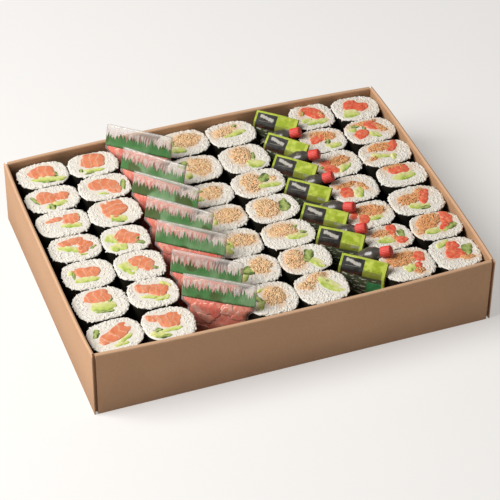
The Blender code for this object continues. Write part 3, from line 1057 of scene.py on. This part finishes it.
@dataclass
class Roll:
    """One upright cut of a thick roll: nori outside, rice, and a filling that runs through it.

    Attributes:
        name: Its column letter and row number.
        kind: The kind of roll that its solid is named for.
        outline_waves: How many waves may shape its outline.
        inset: How far the outline is drawn in from the solid's.
        nori_thick: The thickness of the seaweed.
        nori_inset: How far it lies inside the outline.
        nori_lap: How far its overlapping end stands out.
        crown_rise: How far the solid's top is over the seaweed's edge.
        shoulder, shoulder_rise: The width and height of the rice's rounded edge.
        grain_pitch: The spacing of the grains that show.
        grain_long, grain_wide: The least and greatest half length and half width of a grain.
        grain_flat: A grain's height as a share of its width.
        grain_sunk: The least and greatest depth of a grain's middle in the bed.
        filling_margin: How far the filling stays inside the outline.
        stain_reach: How far from a filling its tint fades out.
        centre: The middle of its outline, across and back.
        foot, rim: The heights of its foot and of the seaweed's edge.
        waves: The outline's waves at the foot and at the seaweed's edge.
        morsels: The cuts of its filling.
    """

    name: str
    kind: str
    outline_waves: int = 6
    inset: float = 0.1
    nori_thick: float = 0.45
    nori_inset: float = 0.65
    nori_lap: float = 0.3
    crown_rise: float = 2.2
    shoulder: float = 2.6
    shoulder_rise: float = 1.6
    grain_pitch: float = 2.25
    grain_long: tuple[float, float] = (2.2, 3.1)
    grain_wide: tuple[float, float] = (1.1, 1.4)
    grain_flat: float = 0.72
    grain_sunk: tuple[float, float] = (0.35, 0.8)
    filling_margin: float = 2.2
    stain_reach: float = 7.0
    centre: Array = field(init=False)
    foot: float = field(init=False)
    rim: float = field(init=False)
    waves: list[Array] = field(init=False)
    morsels: list[Morsel] = field(init=False)

    def __post_init__(self) -> None:
        """Reads the solid's outline at its foot and at the seaweed's edge, as waves of radius."""
        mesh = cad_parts[self.node].data
        corners = np.zeros(len(mesh.vertices) * 3)
        mesh.vertices.foreach_get("co", corners)
        corners = np.unique((corners.reshape(-1, 3) / MM).round(3), axis=0)
        self.foot, self.rim = corners[:, 2].min(), corners[:, 2].max() - self.crown_rise
        rings = [corners[np.abs(corners[:, 2] - z) < 0.1] for z in (self.foot, self.rim)]
        self.centre = (rings[1].max(0) + rings[1].min(0))[:2] / 2
        self.waves = []
        for ring in rings:
            away = ring[:, :2] - self.centre
            angle, radius = np.arctan2(away[:, 1], away[:, 0]), np.hypot(*away.T)
            self.waves.append(np.linalg.lstsq(self._terms(angle), radius, rcond=None)[0])
        self.morsels = Morsel.read(FILLINGS[self.name])

    @property
    def node(self) -> str:
        """The name of the solid that this roll stands for."""
        return f"{self.kind}_{self.name}"

    def _terms(self, angle: Array) -> Array:
        """The sines and cosines of an angle's multiples, as columns.

        Args:
            angle: Angles in radians.

        Returns:
            A row for each angle, with 1 first.
        """
        orders = np.arange(1, self.outline_waves + 1)
        turns = angle[..., None] * orders
        return np.concatenate([np.ones_like(angle)[..., None], np.cos(turns), np.sin(turns)], -1)

    def radius(self, angle: Array, height: Array | None = None) -> Array:
        """The outline's distance from its middle at an angle, at the edge or at a height.

        Args:
            angle: Angles about the outline's middle.
            height: Heights in the tray, or None for the seaweed's edge.

        Returns:
            The distances.
        """
        terms = self._terms(angle)
        if height is None:
            return terms @ self.waves[1] - self.inset
        share = np.clip((height - self.foot) / (self.rim - self.foot), 0, 1)
        low, high = terms @ self.waves[0], terms @ self.waves[1]
        return low * (1 - share) + high * share - self.inset

    def inside(self, x: Array, y: Array) -> Array:
        """How far places lie inside the outline at the edge, in millimetres."""
        return self.radius(np.arctan2(y, x)) - np.hypot(x, y)

    def crown(self, x: Array, y: Array) -> Array:
        """The height of the rice bed: a quarter round over the seaweed's edge, then level.

        Bumps as large as grains are added.

        Args:
            x, y: Places from the roll's middle.

        Returns:
            The heights in the tray.
        """
        edge = np.clip(1 - self.inside(x, y) / self.shoulder, 0, 1)
        bumps = 0.3 * patches(x / 2.6, y / 2.6, 7)
        return self.rim + self.shoulder_rise * np.sqrt(1 - edge ** 2) + bumps

    def lifted(self, part: Surface) -> Surface:
        """Moves a part from the roll's own middle to its place in the tray."""
        part.points[:, :2] += self.centre
        return part

    def nori(self) -> Surface:
        """The seaweed: a cup with a wavy top edge and the step where its end overlaps.

        The outline is carried up the side in rings, over the edge and down the inside. A slow
        wave in the radius, and a lap over most of the turn, are added.

        Returns:
            The cup, in its place in the tray.
        """
        rng = draws(self.name + "nori")
        a = circle(96)
        start = rng.uniform(0, math.tau)
        lap = self.nori_lap * smoothstep((a - start) % math.tau, 1.2, 1.1)
        edge = 0.2 * np.sin(7 * a + start) + 0.15 * np.sin(17 * a + 2 * start)
        low, top = self.foot, self.rim - 0.1
        heights, insets = np.array([
            (low, 1), (low, 0.2), (low + 20, 0), (low + 40, 0), (top - 8, 0), (top - 2, 0),
            (top, 0), (top, 1), (top - 3, 1), (top - 9, 1)]).T[..., None]
        wave = 0.12 * np.sin(5 * a + heights / 9)
        out = self.radius(a[None], heights) + wave - self.nori_inset + lap
        out = out - insets * self.nori_thick
        z = heights + np.where(heights > top - 2.5, edge, 0)
        return self.lifted(Surface.grid(xyz(out * np.cos(a), out * np.sin(a), z), True, True))

    def stain(self, x: Array, y: Array) -> Array:
        """How much fillings have tinted the rice: their own tint beside them, then less.

        Args:
            x, y: Places from the roll's middle.

        Returns:
            The tint, 0 to 1.
        """
        tint = np.zeros_like(x)
        for morsel in self.morsels:
            near = smoothstep(morsel.gap(x, y), self.stain_reach, 0.0)
            tint = np.maximum(tint, morsel.food.tint * near)
        return tint

    def rice(self) -> Surface:
        """The rice: a bumpy bed and the grains that show on it, swelling over the seaweed.

        The bed is rings of the outline, drawn in by set distances at the edge and by shares to
        the middle, at the crown's height. Grains lie on a jittered lattice wherever no filling
        is: each is four rings on an ellipse's radius, carried along its heading, partly sunk.

        Returns:
            The bed and grains, in their place in the tray.
        """
        rng = draws(self.name + "rice")
        a = circle(80)
        drawn = np.array([1.9, 1.7, 0.6, 0.1, 0.25, 0.8, 1.8, 3.2])[:, None]
        shares = np.array([0.8, 0.7, 0.58, 0.45, 0.3, 0.15])[:, None]
        reach = np.concatenate([self.radius(a) - drawn, self.radius(a) * shares])
        x, y = reach * np.cos(a), reach * np.sin(a)
        z = self.crown(x, y)
        z[0], z[1], z[2] = self.rim - 8, self.rim - 1.2, self.rim - 0.35
        bed = Surface.grid(xyz(x, y, z), True, True, tone=self.stain(x, y))
        lattice = np.arange(-32, 32, self.grain_pitch)
        gx, gy = np.meshgrid(lattice, lattice)
        gx = gx + (np.arange(len(lattice))[:, None] % 2) * self.grain_pitch / 2
        gx, gy = (g.ravel() + rng.normal(0, 0.6, g.size) for g in (gx, gy))
        clear = np.min([m.gap(gx, gy) for m in self.morsels], axis=0)
        inside = self.inside(gx, gy)
        keep = (clear > 0.9) & (inside > 0.4)
        gx, gy, inside, clear = gx[keep], gy[keep], inside[keep], clear[keep]
        return self.lifted(Surface.joined([bed, self.grains(rng, gx, gy, inside, clear)]))

    def grains(self, rng: np.random.Generator, x: Array, y: Array, inside: Array,
               clear: Array) -> Surface:
        """Rice grains at places on the bed; those by the edge lie along it, over the seaweed.

        Args:
            rng: Their random numbers.
            x, y: Places from the roll's middle.
            inside: Their distances from the outline.
            clear: Their distances from the nearest filling, beside which they lie lower.

        Returns:
            The grains, each with the stain of its place as its tone.
        """
        count = len(x)
        turn, tip = rng.uniform(0, math.tau, count), rng.uniform(-0.3, 0.3, count)
        rimward = np.arctan2(y, x) + math.pi / 2 + rng.normal(0, 0.5, count)
        turn = np.where(inside < 3, rimward, turn)
        long, wide = (rng.uniform(*span, count)[:, None, None]
                      for span in (self.grain_long, self.grain_wide))
        outward = np.stack([x, y], -1) / np.hypot(x, y)[:, None]
        ahead = xyz(np.cos(turn) * np.cos(tip), np.sin(turn) * np.cos(tip), np.sin(tip))
        facing = (ahead[:, :2] * outward).sum(1)
        ahead[:, 2] -= 0.45 * facing * smoothstep(inside, 2.6, 0.6)
        ahead /= np.linalg.norm(ahead, axis=1)[:, None]
        side = np.cross(UP, ahead)
        side /= np.linalg.norm(side, axis=1)[:, None]
        up = np.cross(ahead, side)
        t = np.array([-0.82, -0.3, 0.3, 0.82])
        around = circle(6)[:, None]
        belly = np.sqrt(1 - t ** 2) * np.array([1.0, 1.03, 0.97, 0.86])
        least, most = self.grain_sunk
        sunk = rng.uniform(-most, -least, count) - 0.3 * smoothstep(clear, 2.6, 0.9)
        middle = xyz(x, y, self.crown(x, y) + sunk)
        ring = side[:, None] * np.cos(around) + up[:, None] * self.grain_flat * np.sin(around)
        rings = middle[:, None] + ahead[:, None] * long * t[:, None]
        rings = rings[:, :, None] + ring[:, None] * (wide * belly[:, None])[..., None]
        reach = ahead * long[:, 0]
        return Surface.tubes(rings, middle - reach, middle + reach,
                             self.stain(x, y) * rng.uniform(0.4, 1.0, count))

    def filling(self, foods: tuple[Food, ...]) -> Surface | None:
        """The cuts of the named foods in this roll as one surface, or None where it has none.

        A point that would come too near the roll's outline is drawn in.

        Args:
            foods: The foods to include.

        Returns:
            The cuts, in their place in the tray, or None.
        """
        parts = []
        for number, morsel in enumerate(self.morsels):
            if morsel.food not in foods:
                continue
            label = f"{self.name}{number}"
            top = self.rim + morsel.food.lift
            parts.append(morsel.block(top, label))
            if morsel.food is Food.SHREDS:
                parts.append(morsel.strands(top + 0.2, label + "t"))
        if not parts:
            return None
        heap = Surface.joined(parts)
        x, y = heap.points[:, 0], heap.points[:, 1]
        most = self.radius(np.arctan2(y, x)) - self.filling_margin
        heap.points[:, :2] *= np.minimum(1, most / np.maximum(np.hypot(x, y), 1e-6))[:, None]
        return self.lifted(heap)

    def build(self, finishes: Finishes) -> None:
        """Makes the roll's pieces in place of its solid.

        Args:
            finishes: The finished materials by name.
        """
        shreds = "chicken_shreds" if self.kind == "chicken_roll" else "crab_shreds"
        pieces = [("nori", "nori", "nori", self.nori()), ("rice", "rice", "rice", self.rice()),
                  ("salmon", "salmon", "filling", self.filling((Food.SALMON,))),
                  ("shreds", shreds, "filling", self.filling((Food.SHREDS,))),
                  ("crab", "crab_stick", "filling", self.filling((Food.CRAB,))),
                  ("greens", "greens", "greens", self.filling((Food.AVOCADO, Food.CUCUMBER)))]
        for label, finish, slot, surface in pieces:
            if surface is not None:
                surface.install(f"{label}_{self.name}", finishes[finish], slot, self.node)


@dataclass(frozen=True)
class Packet:
    """The bent sheet that a packet's pieces lie on.

    It hangs straight down below its crease and leans back above it, with a rounded bend between.
    Places on it are u, -1 to 1 from left to right, rise over the crease, and depth towards the
    front.

    Attributes:
        place: The middle of its crease, across and back.
        turn: The direction of its crease in degrees.
        lean: How far it leans back, in degrees.
        width, low_width: Its width above and below the crease.
        above, below: Its lengths above and below the crease.
        thick: Its greatest thickness.
        bow: How far its middle stands forward of its ends above the crease.
        crease: The height of the crease.
    """

    place: tuple[float, float]
    turn: float
    lean: float
    width: float
    low_width: float
    above: float
    below: float
    thick: float
    bow: float = 0.0
    crease: float = 73.0

    @property
    def axes(self) -> tuple[Array, Array]:
        """The directions along its crease and to its front.

        Returns:
            Two unit directions.
        """
        turn = math.radians(self.turn)
        along = np.array([math.cos(turn), math.sin(turn), 0])
        return along, np.array([along[1], -along[0], 0])

    def half_width(self, rise: Array) -> Array:
        """Half the packet's width at a rise."""
        share = np.clip((rise + 4) / 6, 0, 1)
        return (self.low_width + (self.width - self.low_width) * share) / 2

    def half_thick(self, u: Array, rise: Array) -> Array:
        """Half the packet's thickness: 0.3 of the full one at its seams, all of it low down.

        Args:
            u: Places across, -1 to 1.
            rise: Lengths up the sheet from the crease.

        Returns:
            The halves, one a place.
        """
        v = np.where(rise > 0, rise / self.above, rise / self.below)
        plump = (1 - u ** 2) * np.where(v <= 0, 1 - v ** 2, np.maximum(1 - 2.5 * v, 0))
        return self.thick / 2 * (0.3 + 0.7 * plump)

    def spot(self, u: Array, rise: Array, depth: Array) -> Array:
        """Places in the tray for places on the packet.

        The part of rise that leans is (rise + sqrt(rise^2 + 9)) / 2 and the rest stays upright,
        which rounds the bend; depth is measured square to the sheet.

        Args:
            u: Places across, -1 to 1.
            rise: Lengths up the sheet from the crease.
            depth: Distances in front of the sheet.

        Returns:
            Points in the tray.
        """
        u, rise, depth = np.broadcast_arrays(u, rise, depth)
        (along, front), lean = self.axes, math.radians(self.lean)
        leaning = (rise + np.sqrt(rise ** 2 + 9)) / 2 - 1.5 * smoothstep(rise, 12, -12)
        back = np.array(UP) * math.cos(lean) - front * math.sin(lean)
        tilt = smoothstep(rise, -4, 4)[..., None] * lean
        normal = front * np.cos(tilt) + np.array(UP) * np.sin(tilt)
        bowed = depth + self.bow * (1 - u ** 2) * smoothstep(rise, -6, 8)
        foot = np.array([*self.place, self.crease])
        return (foot + along * (u * self.half_width(rise))[..., None] + back * leaning[..., None]
                + np.array(UP) * (rise - leaning)[..., None] + normal * bowed[..., None])

    def pouch(self, columns: int, rows: int, ripple: float, seed: int) -> Surface:
        """The packet's closed skin: an oval loop, front then back, carried up from its foot.

        Args:
            columns, rows: How fine it is.
            ripple: The depth of its wrinkles.
            seed: Which wrinkles.

        Returns:
            The skin. Its map is 0 to 1 across and height over the foot in tenths of a metre, and
            its tone is high along the side and top seams.
        """
        u, face = both_faces(columns)
        u, rise = np.meshgrid(u, np.linspace(-self.below, self.above, rows))
        depth = face * self.half_thick(u, rise)
        wrinkle = patches(u * 5 + rise / 9, rise / 5, seed) + 0.5 * patches(u * 13, rise / 3, seed + 1)
        depth = depth + ripple * wrinkle * (1 - u ** 2)
        seam = np.maximum(smoothstep(np.abs(u), 0.9, 0.97), smoothstep(rise, self.above - 3,
                                                                    self.above - 2))
        return Surface.grid(self.spot(u, rise, depth), True, True,
                            np.stack([(u + 1) / 2, (rise + self.below) / 100], -1), seam)


@dataclass
class GingerPacket:
    """A clear packet of pickled ginger with a strip of plastic grass across it.

    Attributes:
        number: Its place from the back, from 1.
        form: The sheet that it lies on.
        strip_foot, strip_valley, strip_tip: Heights of the strip's foot, the low places between
            its tufts and its tallest tips, over the crease.
        tufts: How many tufts of blades there are.
        slice_count: How many slices lie on the mass; the first half lies near the crease.
    """

    number: int
    form: Packet
    strip_foot: float = 6.5
    strip_valley: float = 14.0
    strip_tip: float = 26.0
    tufts: int = 6
    slice_count: int = 16

    def slices(self) -> Surface:
        """The ginger: a plump mass with thin curled slices pressed against the film.

        The mass is the pouch drawn in. A slice is a flat round whose outline has three waves,
        with a wavy depth, mapped onto the packet's front.

        Returns:
            The ginger; its tone runs from red at 0 to pale at 1.
        """
        rng = draws(f"ginger{self.number}")
        form = self.form
        u, face = both_faces(25, 0.94)
        low, high = -form.below + 2.5, self.strip_foot + 8
        u, rise = np.meshgrid(u, np.linspace(low, high, 30))
        taper = np.sqrt(np.clip((high + 0.5 - rise) / 6, 0, 1))
        lumps = patches(u * 7 + rise / 7, rise / 6 - u * 3, self.number)
        depth = face * form.half_thick(u, rise) * (0.76 + 0.12 * lumps) * taper
        parts = [Surface.grid(form.spot(u, rise, depth), True, True,
                              tone=0.3 + 0.25 * lumps + 0.15 * (u + 1)
                              + 0.5 * smoothstep(rise, self.strip_foot, high))]
        a = circle(28)
        shares, shell = np.array([(0.35, -0.2), (0.8, -0.2), (1, -0.08), (1, 0.08), (0.8, 0.2),
                                  (0.35, 0.2)]).T[..., None]
        for number in range(self.slice_count):
            mid_u, mid_rise = rng.uniform(-0.72, 0.72), rng.uniform(-form.below + 9, 3.5)
            if number < self.slice_count // 2:
                mid_rise = rng.uniform(-7, 3.0)
            size = rng.uniform(6, 10, 2)
            outline = 1 + 0.14 * np.sin(3 * a + rng.uniform(0, 6)) + 0.08 * np.sin(5 * a)
            local_x = shares * outline * size[0] * np.cos(a)
            local_y = shares * outline * size[1] * 0.7 * np.sin(a)
            x, y = turned(local_x, local_y, math.degrees(rng.uniform(-0.7, 0.7)))
            rise = np.clip(mid_rise + y, -form.below + 2, self.strip_foot + 3)
            u = np.clip(mid_u + x / form.half_width(rise), -0.88, 0.88)
            wave = 0.3 * np.sin(local_x / 2.2 + rng.uniform(0, 6)) + 0.2 * np.sin(local_y / 1.6)
            side = 1 if number % 4 else -1
            depth = side * (form.half_thick(u, rise) * 0.78 + 0.25 * wave + rng.uniform(0, 0.2))
            parts.append(Surface.grid(form.spot(u, rise, depth + shell), True, True,
                                      tone=rng.uniform(0.05, 0.95)))
        return Surface.joined(parts)

    def strip(self) -> Surface:
        """The grass strip: a straight foot, and blades whose tips rise and fall in tufts.

        A point's height is the foot plus its share of the way to the blade's edge, which is the
        valley plus a tuft's half sine times a sawtooth's peak.

        Returns:
            The strip, 0.2 mm thick.
        """
        rng = draws(f"grass{self.number}")
        u = np.linspace(-0.985, 0.985, 361)
        place = (u + 1) / 2 * self.tufts + rng.uniform(0, 1) + 0.15 * patches(u * 3, u * 0, 3)
        tuft = np.abs(np.sin(place * math.pi)) ** 0.8
        blade = place * 3.7 + 0.35 * np.sin(place * 2.1)
        tooth = 1 - np.abs((blade % 1) * 2 - 1)
        tall = 0.75 + 0.25 * patches(np.floor(blade) * 1.7, u * 0, self.number + 4)
        edge = self.strip_valley - 1 + (self.strip_tip - self.strip_valley + 1) * tall * (
            0.3 + 0.7 * tuft) * (0.3 + 0.7 * tooth)
        t = np.linspace(0, 1, 7)[:, None]
        rise = self.strip_foot + (edge - self.strip_foot) * t
        depth = self.form.half_thick(u, rise) + 0.35 + 0.2 * np.sin(u * 20) * t
        front = self.form.spot(u[None], rise, depth)
        back = self.form.spot(u[None], rise, depth - 0.2)
        loop = np.concatenate([front, back[::-1]])
        return Surface.grid(loop.transpose(1, 0, 2)[::-1], True, True)

    def build(self, finishes: Finishes) -> None:
        """Makes the packet's film, ginger and strip in place of its solid.

        Args:
            finishes: The finished materials by name.
        """
        node = f"ginger_packet_{self.number}"
        film = self.form.pouch(25, 33, 0.25, self.number)
        film.tone = film.tone * 0.3
        for label, finish, slot, surface in [
                ("ginger_film", "ginger_film", "ginger_film", film),
                ("ginger_slices", "ginger", "ginger", self.slices()),
                ("grass_strip", "plastic_grass", "ginger_film", self.strip())]:
            surface.install(f"{label}_{self.number}", finishes[finish], slot, node)


@dataclass
class SoyFish:
    """A fish-shaped bottle of soy sauce that lies sloping on a wasabi packet.

    Attributes:
        number: Its packet's number.
        form: Its packet's sheet.
        along: How far its cap is along the packet from the middle.
        front: How far in front of the packet the cap is.
        cap_height: The height of the cap's middle.
        turn, slope: How it is turned from the packet and slopes down, in degrees.
        cap_middle: How far the cap's middle is from its outer end.
        ribs: How many ribs go round the cap.
        cap_rings: Distance from the cap's end, radius and how much the ribs stand out there.
        sections: Distance from the cap's end, half width and half thickness, from cap to tail.
    """

    number: int
    form: Packet
    along: float
    front: float
    cap_height: float
    turn: float
    slope: float
    cap_middle: float = 6.0
    ribs: int = 22
    cap_rings: tuple[tuple[float, float, float], ...] = (
        (0, 3.4, 0), (0.15, 4.7, 0.1), (0.7, 5.4, 0.5), (1.2, 5.7, 1), (6, 5.8, 1), (10.6, 5.9, 1),
        (11.1, 5.85, 0.4), (11.7, 5.5, 0), (12, 3.9, 0))
    sections: tuple[tuple[float, float, float], ...] = (
        (11.4, 3.6, 3.6), (12.3, 4.6, 4.6), (14, 5.2, 5), (19, 8.2, 6.9), (27, 9.2, 7.7),
        (35, 7.2, 5.8), (42, 3, 2.6), (45, 3.6, 1.6), (49, 6, 1.4))

    def carry(self, distance: Array, side: Array, upward: Array) -> Array:
        """Places in the tray for a distance from the cap's end and offsets from the axis.

        Args:
            distance: Distances from the cap's outer end.
            side, upward: Offsets across the axis and over it.

        Returns:
            Points in the tray.
        """
        along, front = self.form.axes
        turn = math.radians(self.form.turn + 180 + self.turn)
        slope = math.radians(self.slope)
        heading = np.array([math.cos(turn) * math.cos(slope), math.sin(turn) * math.cos(slope),
                            -math.sin(slope)])
        across = np.cross(heading, UP)
        across /= np.linalg.norm(across)
        over = np.cross(across, heading)
        cap = np.array([*self.form.place, self.cap_height]) + along * self.along
        cap = cap + front * self.front
        distance, side, upward = np.broadcast_arrays(distance, side, upward)
        return (cap + heading * (distance - self.cap_middle)[..., None]
                + across * side[..., None] + over * upward[..., None])

    def bottle(self) -> Surface:
        """The bottle: ovals whose halves follow its sections smoothly, with a moulded seam.

        Both halves are read from the sections by linear interpolation, smoothed over 4 mm, and
        a narrow ridge stands at either side.

        Returns:
            The bottle from its neck to its tail.
        """
        start, end = self.sections[0][0], self.sections[-1][0]
        fine = np.linspace(start, end, 200)
        table = np.array(self.sections)
        wide, thick = (np.interp(fine, table[:, 0], table[:, k]) for k in (1, 2))
        window = np.hanning(15)
        window /= window.sum()
        wide, thick = (np.convolve(np.pad(v, 7, "edge"), window, "valid") for v in (wide, thick))
        pick = np.linspace(0, 199, 34).astype(int)
        a = circle(28)
        ridge = 0.25 * np.exp(-(np.sin(a) / 0.12) ** 2)
        side = (wide[pick][:, None] + ridge) * np.cos(a)
        upward = thick[pick][:, None] * np.sin(a)
        points = self.carry(fine[pick][:, None], side, upward)
        return Surface.grid(points[:, ::-1], True, True)

    def cap(self) -> Surface:
        """The cap: a drum whose radius has ribs round it, rounded over at both ends.

        Returns:
            The cap in its place in the tray.
        """
        a = circle(self.ribs * 4)
        at, radius, ribbed = np.array(self.cap_rings).T[..., None]
        ring = radius + ribbed * 0.2 * np.cos(a * self.ribs) - 0.12
        points = self.carry(at, ring * np.cos(a), ring * np.sin(a))
        return Surface.grid(points[:, ::-1], True, True)

    def build(self, finishes: Finishes) -> None:
        """Makes the bottle and its cap; they stand for part of their packet's solid.

        Args:
            finishes: The finished materials by name.
        """
        node = f"wasabi_packet_{self.number}"
        for label, surface in [("soy_bottle", self.bottle()), ("bottle_cap", self.cap())]:
            surface.install(f"{label}_{self.number}", finishes[label], label, node)


@dataclass(frozen=True)
class Studio:
    """The camera at the photograph's angle, a pale floor and soft light from the left.

    Attributes:
        azimuth, elevation, roll: The camera's direction in degrees.
        distance: From the tray's middle, in metres.
        shift_right, shift_up: How far the view's middle is from the tray's, in metres.
        lens: Focal length in millimetres on a sensor 36 wide.
        key_spot, key_side: Where the soft square light is and its side, in metres.
        key_watts, key_tint: Its power and colour.
        sky, sky_strength: The colour and strength of the light from all round.
    """

    azimuth: float = -20.57
    elevation: float = 39.79
    roll: float = 0.68
    distance: float = 2.3063
    shift_right: float = 0.00833
    shift_up: float = 0.01879
    lens: float = 151.22
    key_spot: tuple[float, float, float] = (-1.75, 0.12, 1.83)
    key_side: float = 1.6
    key_watts: float = 90
    key_tint: tuple[float, float, float] = (1.0, 0.985, 0.96)
    sky: Colour = (1, 0.94, 0.86, 1)
    sky_strength: float = 0.14

    def camera(self) -> None:
        """Sets up the camera from its angles."""
        a, e, r = (math.radians(v) for v in (self.azimuth, self.elevation, self.roll))
        back = Vector((math.sin(a) * math.cos(e), -math.cos(a) * math.cos(e), math.sin(e)))
        right = Vector((0, 0, 1)).cross(back).normalized()
        up = back.cross(right)
        right, up = right * math.cos(r) + up * math.sin(r), up * math.cos(r) - right * math.sin(r)
        data = bpy.data.cameras.new("camera")
        data.lens, data.sensor_width = self.lens, 36
        camera = bpy.data.objects.new("camera", data)
        spot = back * self.distance + right * self.shift_right + up * self.shift_up
        turn = Matrix((right, up, back)).transposed().to_4x4()
        camera.matrix_world = Matrix.Translation(spot) @ turn
        bpy.context.scene.collection.objects.link(camera)
        bpy.context.scene.camera = camera

    def key(self) -> None:
        """Adds the soft square light, which faces the tray's middle."""
        data = bpy.data.lights.new("key", "AREA")
        data.energy, data.size, data.color = self.key_watts, self.key_side, self.key_tint
        lamp = bpy.data.objects.new("key", data)
        lamp.location = self.key_spot
        away = Vector(self.key_spot) - Vector((0, 0, 0.05))
        lamp.rotation_euler = away.to_track_quat("Z", "Y").to_euler()
        bpy.context.scene.collection.objects.link(lamp)

    def floor(self) -> None:
        """Lays the pale floor: a square grid with a faintly mottled finish."""
        x, y = np.meshgrid(*[np.linspace(-6000, 6000, 9)] * 2)
        look = Look("studio_floor")
        cloud = look.noise(3, 2)
        look.dress(Roughness=0.9, Base_Color=look.mix(cloud, seen(196, 196, 196),
                                                      seen(200, 200, 200)),
                   Emission_Color=(1.0, 0.97, 0.94, 1.0), Emission_Strength=0.42)
        floor = Surface.grid(xyz(x, y, -0.05)).to_object("floor", look.material)

    def build(self) -> None:
        """Sets up the camera, floor, light and sky."""
        self.camera()
        self.floor()
        self.key()
        world = bpy.data.worlds.new("studio")
        world.use_nodes = True
        inputs = world.node_tree.nodes["Background"].inputs
        inputs["Color"].default_value, inputs["Strength"].default_value = self.sky, self.sky_strength
        bpy.context.scene.world = world
        bpy.context.scene.view_settings.view_transform = "Standard"


@dataclass
class PartyTray:
    """The whole tray: board, forty-two rolls, and the packets and bottles between them.

    Attributes:
        columns: The kind of roll in each column.
        rows: How many rolls a column has.
        first_row, pitch: The first row's place and the spacing of rows.
        ginger_across: Where the middles of the ginger packets' creases are.
        ginger_turns, ginger_shifts: How each is turned and how far it is behind its row.
        wasabi_turns, wasabi_places: The same packet by packet, with both numbers of its place.
        fish: Each bottle's cap along and in front of its packet, its height, turn and slope.
    """

    columns: dict[str, str] = field(default_factory=lambda: {
        "a": "salmon_roll", "b": "salmon_roll", "c": "chicken_roll", "d": "chicken_roll",
        "e": "crab_roll", "f": "crab_roll"})
    rows: int = 7
    first_row: float = 141.7
    pitch: float = 45.9
    ginger_across: float = -75.0
    ginger_turns: tuple[float, ...] = (-39, -46, -43, -43, -38, -37, -34)
    ginger_shifts: tuple[float, ...] = (-5, -8, -6, -5, 0, -5, 2)
    wasabi_turns: tuple[float, ...] = (-42, -47, -44, -41, -40, -38, -40)
    wasabi_places: tuple[tuple[float, float], ...] = (
        (87, 136), (82, 91), (77, 51), (76, 7), (77, -39), (79, -81), (84, -131))
    fish: tuple[tuple[float, ...], ...] = (
        (28, 5, 78, 12, 24), (37.5, 0.5, 82.5, 14, 24), (42.5, 1, 82, 18, 26),
        (51.2, 5.5, 78, 0, 18), (44.3, 3.7, 79, 8, 22), (52, 2.8, 80.2, 3, 25))

    def finishes(self) -> Finishes:
        """Makes every finish once, by name.

        Returns:
            The finished materials.
        """
        kinds = (KraftBoard(), Nori(), Rice(), Salmon(), CrabStick(), Greens(), GingerFlesh(),
                 ClearFilm(), GrassPlastic(), WasabiPrint(), SoyBottle(), CapPlastic(),
                 Shreds("chicken_shreds", seen(255, 228, 184), seen(255, 194, 138),
                        seen(252, 172, 114)),
                 Shreds("crab_shreds", seen(252, 200, 142), seen(246, 158, 96),
                        seen(206, 110, 64)))
        return {kind.name: kind.material() for kind in kinds}

    def board(self, finishes: Finishes) -> None:
        """Gives the tray's solid, whose form is right, its kraft finish.

        Args:
            finishes: The finished materials by name.
        """
        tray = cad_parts["tray"]
        for slot in tray.material_slots:
            slot.material = finishes["kraft_board"]
        log.info("tray: kraft board")

    def build(self) -> None:
        """Builds the tray's pieces in order."""
        finishes = self.finishes()
        self.board(finishes)
        for letter, kind in self.columns.items():
            for row in range(1, self.rows + 1):
                Roll(f"{letter}{row}", kind).build(finishes)
        for row, (turn, shift) in enumerate(zip(self.ginger_turns, self.ginger_shifts)):
            place = (self.ginger_across, self.first_row - self.pitch * row + shift)
            form = Packet(place, turn, lean=18, width=78, low_width=64, above=30.8, below=40,
                          thick=8)
            GingerPacket(row + 1, form).build(finishes)
        for row, (turn, place) in enumerate(zip(self.wasabi_turns, self.wasabi_places)):
            form = Packet(place, turn, lean=50, width=52, low_width=52, above=16, below=38,
                          thick=4, bow=2.0)
            form.pouch(33, 29, 0.3, row + 40).install(
                f"wasabi_sachet_{row + 1}", finishes["wasabi_foil"], "wasabi_foil",
                f"wasabi_packet_{row + 1}")
            if row < len(self.fish):
                SoyFish(row + 1, form, *self.fish[row]).build(finishes)


def main() -> None:
    """Builds the studio and the tray."""
    logging.basicConfig(level=logging.INFO, format="%(message)s")
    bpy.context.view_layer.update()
    Studio().build()
    PartyTray().build()


if __name__ == "__main__":
    main()
